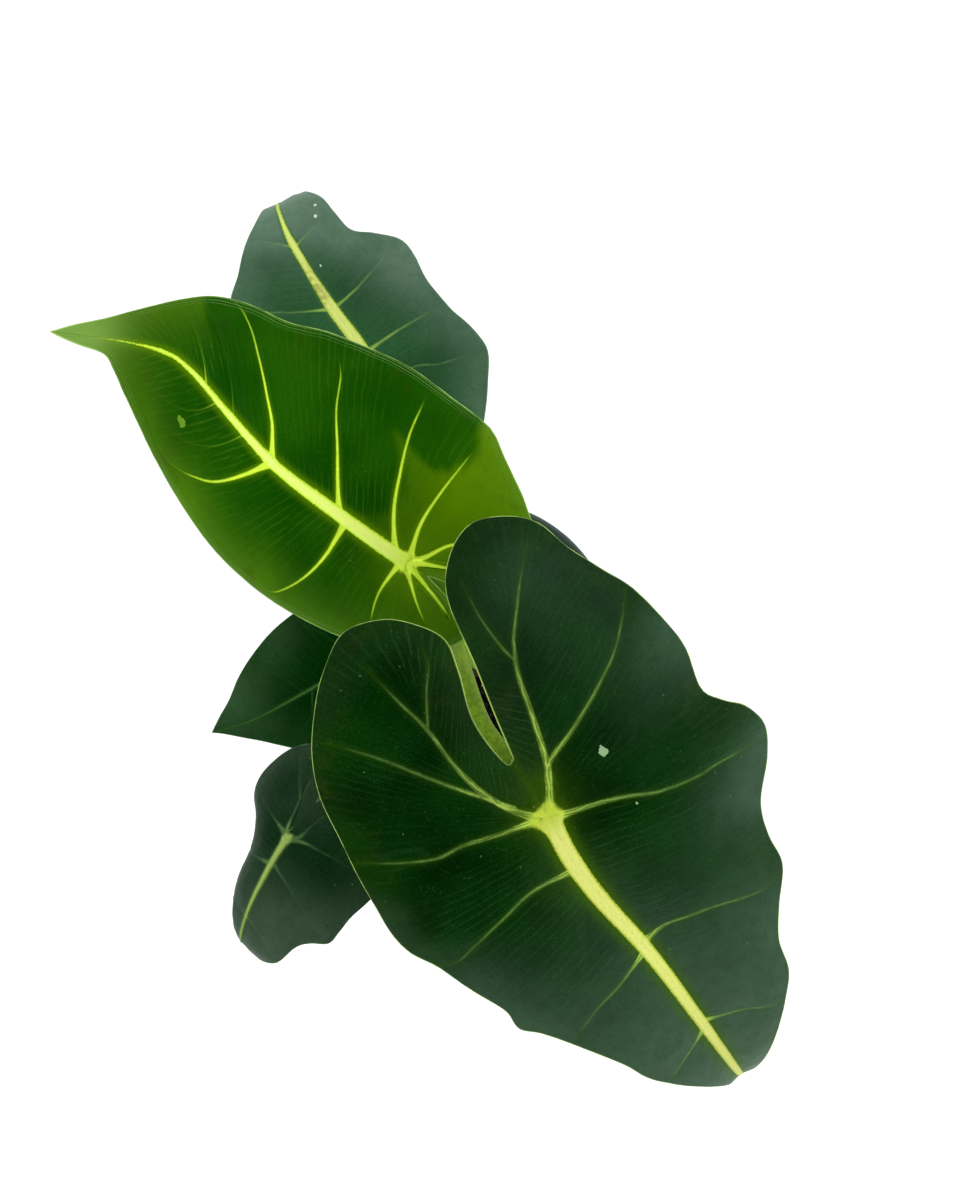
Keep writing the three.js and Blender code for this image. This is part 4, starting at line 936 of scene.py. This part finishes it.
stalkSkin = stalkMaterial()
for leaf in leaves:
    makeStalk(leaf, stalkSkin)
print("stalks made")

pot = dict(height=115, rimRadius=65, rimWidth=5.6, rimRise=2.2, skirtDepth=14, skirtWall=1.6, skirtTaper=0.6,
           skirtBulge=0.25, edgeRound=0.5, floorRound=1.5, wall=2, floor=2.4, baseRadius=47.5,
           baseChamfer=1.5, drainRadius=4.5, drainCircle=36, drains=6, drainSides=28, sides=160,
           colour=(42, 59, 53), worn=(60, 77, 71), dust=(80, 74, 62))
slope = (pot["rimRadius"] - pot["rimWidth"] + pot["wall"] - pot["baseRadius"]) / pot["height"]


def wallAt(height):  # outer radius of the tapered wall
    return pot["baseRadius"] + slope * height


def turned(profile, sides):  # a closed profile of (radius, height) carried round the axis
    profile = np.asarray(profile, float)
    angle = np.linspace(0, 2 * np.pi, sides, endpoint=False)
    points = np.stack([profile[:, :1] * np.cos(angle), profile[:, :1] * np.sin(angle),
                       np.broadcast_to(profile[:, 1:], (len(profile), sides))], -1)
    return points.reshape(-1, 3), gridFaces(len(profile), sides, wrap=True)


def weld(piece, distance=0.00001):  # joins doubled points and drops faces without area
    mesh = bmesh.new()
    mesh.from_mesh(piece.data)
    bmesh.ops.remove_doubles(mesh, verts=mesh.verts, dist=distance)
    bmesh.ops.dissolve_degenerate(mesh, edges=mesh.edges, dist=distance)
    bmesh.ops.recalc_face_normals(mesh, faces=mesh.faces)
    mesh.to_mesh(piece.data)
    mesh.free()


def arc(centre, radii, first, last, count):  # points on an ellipse from one angle to another, in degrees
    angle = np.radians(np.linspace(first, last, count))
    return np.stack([centre[0] + radii[0] * np.cos(angle), centre[1] + radii[1] * np.sin(angle)], -1)


def potProfile():  # from the axis along the base, up the wall, round skirt and rim, and down the inside
    rim, taper, curve, floor = pot["rimRadius"], pot["skirtTaper"], pot["edgeRound"], pot["floor"]
    chamfer, lip, top = pot["baseChamfer"], pot["rimWidth"] / 2, pot["height"] - pot["rimRise"]
    skirtEnd, grooveTop = pot["height"] - pot["skirtDepth"], top - 1
    inner, outer = rim - pot["skirtWall"], rim - taper
    return np.vstack([
        [(pole, 0)], arc((pot["baseRadius"] - chamfer, chamfer), (chamfer, chamfer), -90, 0, 7),
        [(wallAt(h), h) for h in np.linspace(6, skirtEnd, 9)],
        [(wallAt(grooveTop), grooveTop), (inner, grooveTop), (inner - taper, skirtEnd + curve)],
        [(inner - taper + curve, skirtEnd), (outer - curve, skirtEnd)],
        [(outer, skirtEnd + curve), (outer + pot["skirtBulge"], (skirtEnd + top) / 2)],
        arc((rim - lip, top), (lip, pot["rimRise"]), 0, 180, 22),
        [(wallAt(h) - pot["wall"], h) for h in np.linspace(108, floor + 2, 10)],
        [(wallAt(floor) - pot["wall"] - pot["floorRound"], floor), (pole, floor), (pole, 0)]])


def makePot(material):  # the turned profile with round holes cut through its floor
    piece = makePiece("pot", *turned(potProfile(), pot["sides"]), material, "pot")
    weld(piece)
    cutters = []
    low, high, radius = -3, 6, pot["drainRadius"]
    for k in range(pot["drains"]):
        angle = 2 * np.pi * k / pot["drains"]
        points, faces = turned([(pole, low), (radius, low), (radius, high), (pole, high), (pole, low)],
                               pot["drainSides"])
        points = points + (pot["drainCircle"] * np.cos(angle), pot["drainCircle"] * np.sin(angle), 0)
        cutter = makePiece("drainCutter", points, faces, material, "pot")
        weld(cutter)
        cut = piece.modifiers.new("drain", "BOOLEAN")
        cut.operation, cut.object, cut.solver = "DIFFERENCE", cutter, "EXACT"
        cutters.append(cutter)
    bpy.context.view_layer.update()
    shaped = bpy.data.meshes.new_from_object(piece.evaluated_get(bpy.context.evaluated_depsgraph_get()))
    piece.modifiers.clear()
    piece.data = shaped
    for cutter in cutters:
        bpy.data.objects.remove(cutter)
    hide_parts("pot")


def potMaterial():  # satin plastic, a little worn in specks, dusty towards the base, with fine level lines
    s = Shader("pottedPlastic")
    height = s.parts(s.place())[2]
    speckle, broad = s.noise(0.7, 2), s.noise(22, 3)
    dusty = s.noise(11, 4, 0.65).span(0.5, 0.75) * height.span(0, 0.02, 0.6, 0.15)
    colour = s.layers(pot["colour"], (broad.span(0.35, 0.7, 0, 0.5), dim(pot["colour"], 0.8)),
                      (speckle.span(0.62, 0.8, 0, 0.35), pot["worn"]), (dusty, pot["dust"]))
    lines = s.noise(1.8, 3, where=s.place((1, 1, 6)))
    return s.finish(baseColor=colour, roughness=broad.span(0.3, 0.7, 0.24, 0.34) + dusty * 0.4,
                    normal=s.bump(lines + speckle, 0.03, 0.4), specularIorLevel=0.2)


makePot(potMaterial())
print("pot made")

# the soil, bark chips and coir fibres are near black: a dark potting mix, darkened further as painted shade
# under the leaves; the perlite keeps its own white
soil = dict(level=100, crown=2, shoulder=40, edge=57,   # it rises by crown from the edge to the stem base
            lumps=((13, 0.55, 21), (5, 0.385, 22)), sag=0.6,   # length, height, seed; all lower by sag
            rings=60, sides=180, gap=0.33, floorGap=0.3, rimDrop=2, holeInset=1.5, holeDepth=2,
            colours=((6, 6, 5), (18, 16, 13), (4, 4, 4)))
crumbs = dict(
    barkChips=dict(count=950, sizes=(2.5, 8), seed=41,
                   material=("barkChip", (8, 8, 7), (28, 24, 19), (5, 5, 4))),
    perlite=dict(count=70, sizes=(1.6, 3.6), slim=0.75, seed=42,
                 material=("perliteGrain", (206, 202, 192), (236, 234, 228), (170, 164, 150))),
    coirFibres=dict(count=90, sizes=(7, 15), spread=(22, 50), slim=0.07, seed=43,
                    material=("coirFibre", (30, 22, 14), (52, 39, 25), (20, 15, 11))))
# the stem base's colours are dark bark, darkened further as painted shade under the leaves
corm = dict(radius=17, top=109, bottom=86, rings=46, sides=96,
            scarStep=4.2, scarDepth=0.45, bumps=(4, 0.3, 31), sink=0.3,
            colour=(46, 38, 26), scar=(24, 19, 14), moss=(40, 50, 22))


def soilHeight(x, y):  # the surface rises towards the plant, with lumps of two sizes
    rise = np.interp(np.hypot(x, y), [corm["radius"], soil["shoulder"], soil["edge"]],
                     [soil["crown"], soil["crown"] * 0.6, 0])
    flat = np.stack([x, y], -1)
    return soil["level"] + rise - soil["sag"] + sum(
        height * waves(flat, length, 9, seed) for length, height, seed in soil["lumps"])


def makeSoil(material):  # turned like the pot, with a hole for the stem base; its flat top is then raised
    low, top = pot["floor"] + soil["floorGap"], soil["level"] - 1.0
    inner = wallAt(np.array([low, top])) - pot["wall"] - soil["gap"]
    hole, holeFloor = corm["radius"] - soil["holeInset"], corm["bottom"] - soil["holeDepth"]
    radius = np.linspace(inner[1], hole, soil["rings"])
    profile = np.vstack([[(pole, low), (inner[0], low), (inner[1], top - soil["rimDrop"])],
                         np.stack([radius, np.full(soil["rings"], top)], -1),
                         [(hole, holeFloor), (pole, holeFloor), (pole, low)]])
    points, faces = turned(profile, soil["sides"])
    raised = np.abs(points[:, 2] - top) < 0.01
    points[raised, 2] = soilHeight(points[raised, 0], points[raised, 1])
    piece = makePiece("soil", points, faces, material, "soil")
    weld(piece)
    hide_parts("soil")


def scatterShapes(name, count, sizes, seed, material, spread=(19, 55), slim=0.45, lift=0.3):
    # one twenty-faced shard for each place, stretched, dented and turned by chance, all in one mesh
    draw = np.random.default_rng(seed)
    golden = (1 + 5**0.5) / 2
    corners = [(-1, golden, 0), (1, golden, 0), (-1, -golden, 0), (1, -golden, 0)]
    faces = np.array([
        (0, 11, 5), (0, 5, 1), (0, 1, 7), (0, 7, 10), (0, 10, 11), (1, 5, 9), (5, 11, 4), (11, 10, 2),
        (10, 7, 6), (7, 1, 8), (3, 9, 4), (3, 4, 2), (3, 2, 6), (3, 6, 8), (3, 8, 9), (4, 9, 5), (2, 4, 11),
        (6, 2, 10), (8, 6, 7), (9, 8, 1)])
    shard = unit(np.vstack([np.roll(corners, k, axis=1) for k in range(3)]))
    radius = np.sqrt(draw.uniform(spread[0]**2, spread[1]**2, count))
    angle = draw.uniform(0, 2 * np.pi, count)
    x, y = radius * np.cos(angle), radius * np.sin(angle)
    size = draw.uniform(*sizes, count)[:, None] * np.stack(
        [np.ones(count), draw.uniform(slim, min(0.9, 2 * slim), count),
         draw.uniform(0.25, 0.6, count) * min(1, 2.3 * slim)], -1)
    shapes = shard[None] * (1 + draw.uniform(-0.28, 0.2, (count, 12, 1))) * size[:, None] / 2
    quarter = unit(draw.normal(size=(count, 4)) * (1, 0.35, 0.35, 1))  # a turn as a quaternion
    a, b = quarter[:, 0:1, None], quarter[:, None, 1:]
    shapes = shapes + 2 * np.cross(b, np.cross(b, shapes) + a * shapes)
    points = shapes + np.stack([x, y, soilHeight(x, y) + lift * size.min(1)], -1)[:, None]
    everyFace = (faces[None] + 12 * np.arange(count)[:, None, None]).reshape(-1, 3)
    piece = makePiece(name, points.reshape(-1, 3), everyFace, crumbMaterial(*material), "soil", smooth=False)
    setAttribute(piece, "chance", np.repeat(draw.uniform(0, 1, count), 12))


def makeStemBase(material):  # a low dome with sunken leaf scars round it, one for each fallen leaf
    bottom, top, wide = corm["bottom"], corm["top"], corm["radius"]
    height = np.linspace(bottom, top, corm["rings"])
    table = [(bottom, 0.7 * wide), (bottom + 6, 0.95 * wide), (bottom + 12, wide), (top - 6, 0.95 * wide),
             (top - 2, 0.75 * wide), (top, 0.4 * wide)]
    profile = np.stack([between(table, height), height], -1)
    points, faces = turned(np.vstack([[(pole, bottom)], profile, [(pole, top)]]), corm["sides"])
    angle = np.arctan2(points[:, 1], points[:, 0])
    rings = np.sin(2 * np.pi * (points[:, 2] + 1.2 * np.sin(angle * 2 + 1)) / corm["scarStep"])
    length, rise, seed = corm["bumps"]
    dent = -corm["scarDepth"] * ramp(rings, 0.2, 0.9) + rise * waves(points, length, 8, seed)
    dent = dent * ramp(np.hypot(*points[:, :2].T), 4, 12) - corm["sink"]
    piece = makePiece("stemBase", points + unit(points * (1, 1, 0)) * dent[:, None], faces, material, "stem")
    weld(piece)
    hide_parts("stem_base")


def crumbMaterial(name, first, second, third, loose=True):  # a loose crumb has a tone of its own
    s = Shader(name)
    chance = s.parts(s.attribute("chance"))[0] if loose else s.noise(3.5, 4, 0.7)
    grain = s.noise(0.8, 4, 0.7)
    colour = s.layers(first, (chance.span(0.25, 0.8), second), (grain.span(0.5, 0.75, 0, 0.7), third))
    return s.finish(baseColor=colour, roughness=0.9, normal=s.bump(grain, 0.5, 0.8), specularIorLevel=0.06)


def stemMaterial():  # rough bark with some moss, its colours darkened as painted shade under the leaves
    s = Shader("stemBark")
    rough = s.noise(2.4, 5, 0.65)
    colour = s.layers(corm["scar"], (rough.span(0.35, 0.6), corm["colour"]),
                      (s.noise(6, 3).span(0.5, 0.7, 0, 0.6), corm["moss"]))
    return s.finish(baseColor=colour, roughness=0.75, normal=s.bump(rough, 0.5, 0.8), specularIorLevel=0.15)


makeSoil(crumbMaterial("darkSoil", *soil["colours"], loose=False))
for name, crumb in crumbs.items():
    scatterShapes(name, **crumb)
makeStemBase(stemMaterial())
print("soil and stem base made")

studio = dict(floor=(246, 246, 245), floorPatch=(248, 248, 248), floorGlow=0.19, floorReach=6000,
              floorDrop=0.4, horizon=2.28, zenith=0.06, cap=(0.5, 0.82),   # sky bright all round, dark above
              key=6, keySize=0.7, keyPlace=(0.95, -0.55, 0.9), keyTarget=(0, 0, 0.2),
              camera=(3.193, 19.614, 875.23), lens=50, sensor=36)
white = (255, 255, 255)


def makeFloor():  # one wide face just under the pot, glowing a little
    s = Shader("paleFloor")
    colour = s.layers(studio["floor"], (s.noise(160, 3).span(0.3, 0.7, 0, 0.25), studio["floorPatch"]))
    s.finish(baseColor=colour, roughness=0.85, specularIorLevel=0.15, emissionColor=white,
             emissionStrength=studio["floorGlow"])
    wide, low = studio["floorReach"], -studio["floorDrop"]
    corners = [(-wide, -wide, low), (wide, -wide, low), (wide, wide, low), (-wide, wide, low)]
    makePiece("floor", corners, [(0, 1, 2, 3)], s.material, smooth=False)


def makeLight(name):  # a round lamp that looks at its target
    light = bpy.data.lights.new(name, "AREA")
    light.energy, light.shape, light.size = studio["key"], "DISK", studio["keySize"]
    lamp = bpy.data.objects.new(name, light)
    lamp.location = studio["keyPlace"]
    x, y, z = np.array(studio["keyPlace"]) - studio["keyTarget"]
    lamp.rotation_euler = (np.arctan2(np.hypot(x, y), z), 0, np.arctan2(y, x) + np.pi / 2)
    bpy.context.scene.collection.objects.link(lamp)


def makeSky():  # its strength changes smoothly with the height of the direction looked at
    world = bpy.data.worlds.new("softRoom")
    world.use_nodes = True
    sky = Nodes(world.node_tree)
    height = sky.parts(sky.put("TexCoord", output="Generated"))[2]
    strength = height.span(*studio["cap"], studio["horizon"], studio["zenith"])
    sky.join(world.node_tree.nodes["Background"], {"Color": white, "Strength": strength})
    bpy.context.scene.world = world


def makeCamera():
    lens = bpy.data.cameras.new("camera")
    lens.lens, lens.sensor_height, lens.sensor_fit = studio["lens"], studio["sensor"], "VERTICAL"
    lens.clip_start = 0.01
    camera = bpy.data.objects.new("camera", lens)
    camera.location = np.array(studio["camera"]) * metre
    bpy.context.scene.collection.objects.link(camera)
    bpy.context.scene.camera = camera


makeFloor()
makeLight("keyLight")
makeSky()
makeCamera()
bpy.context.scene.view_settings.view_transform = "Standard"
print("studio made")
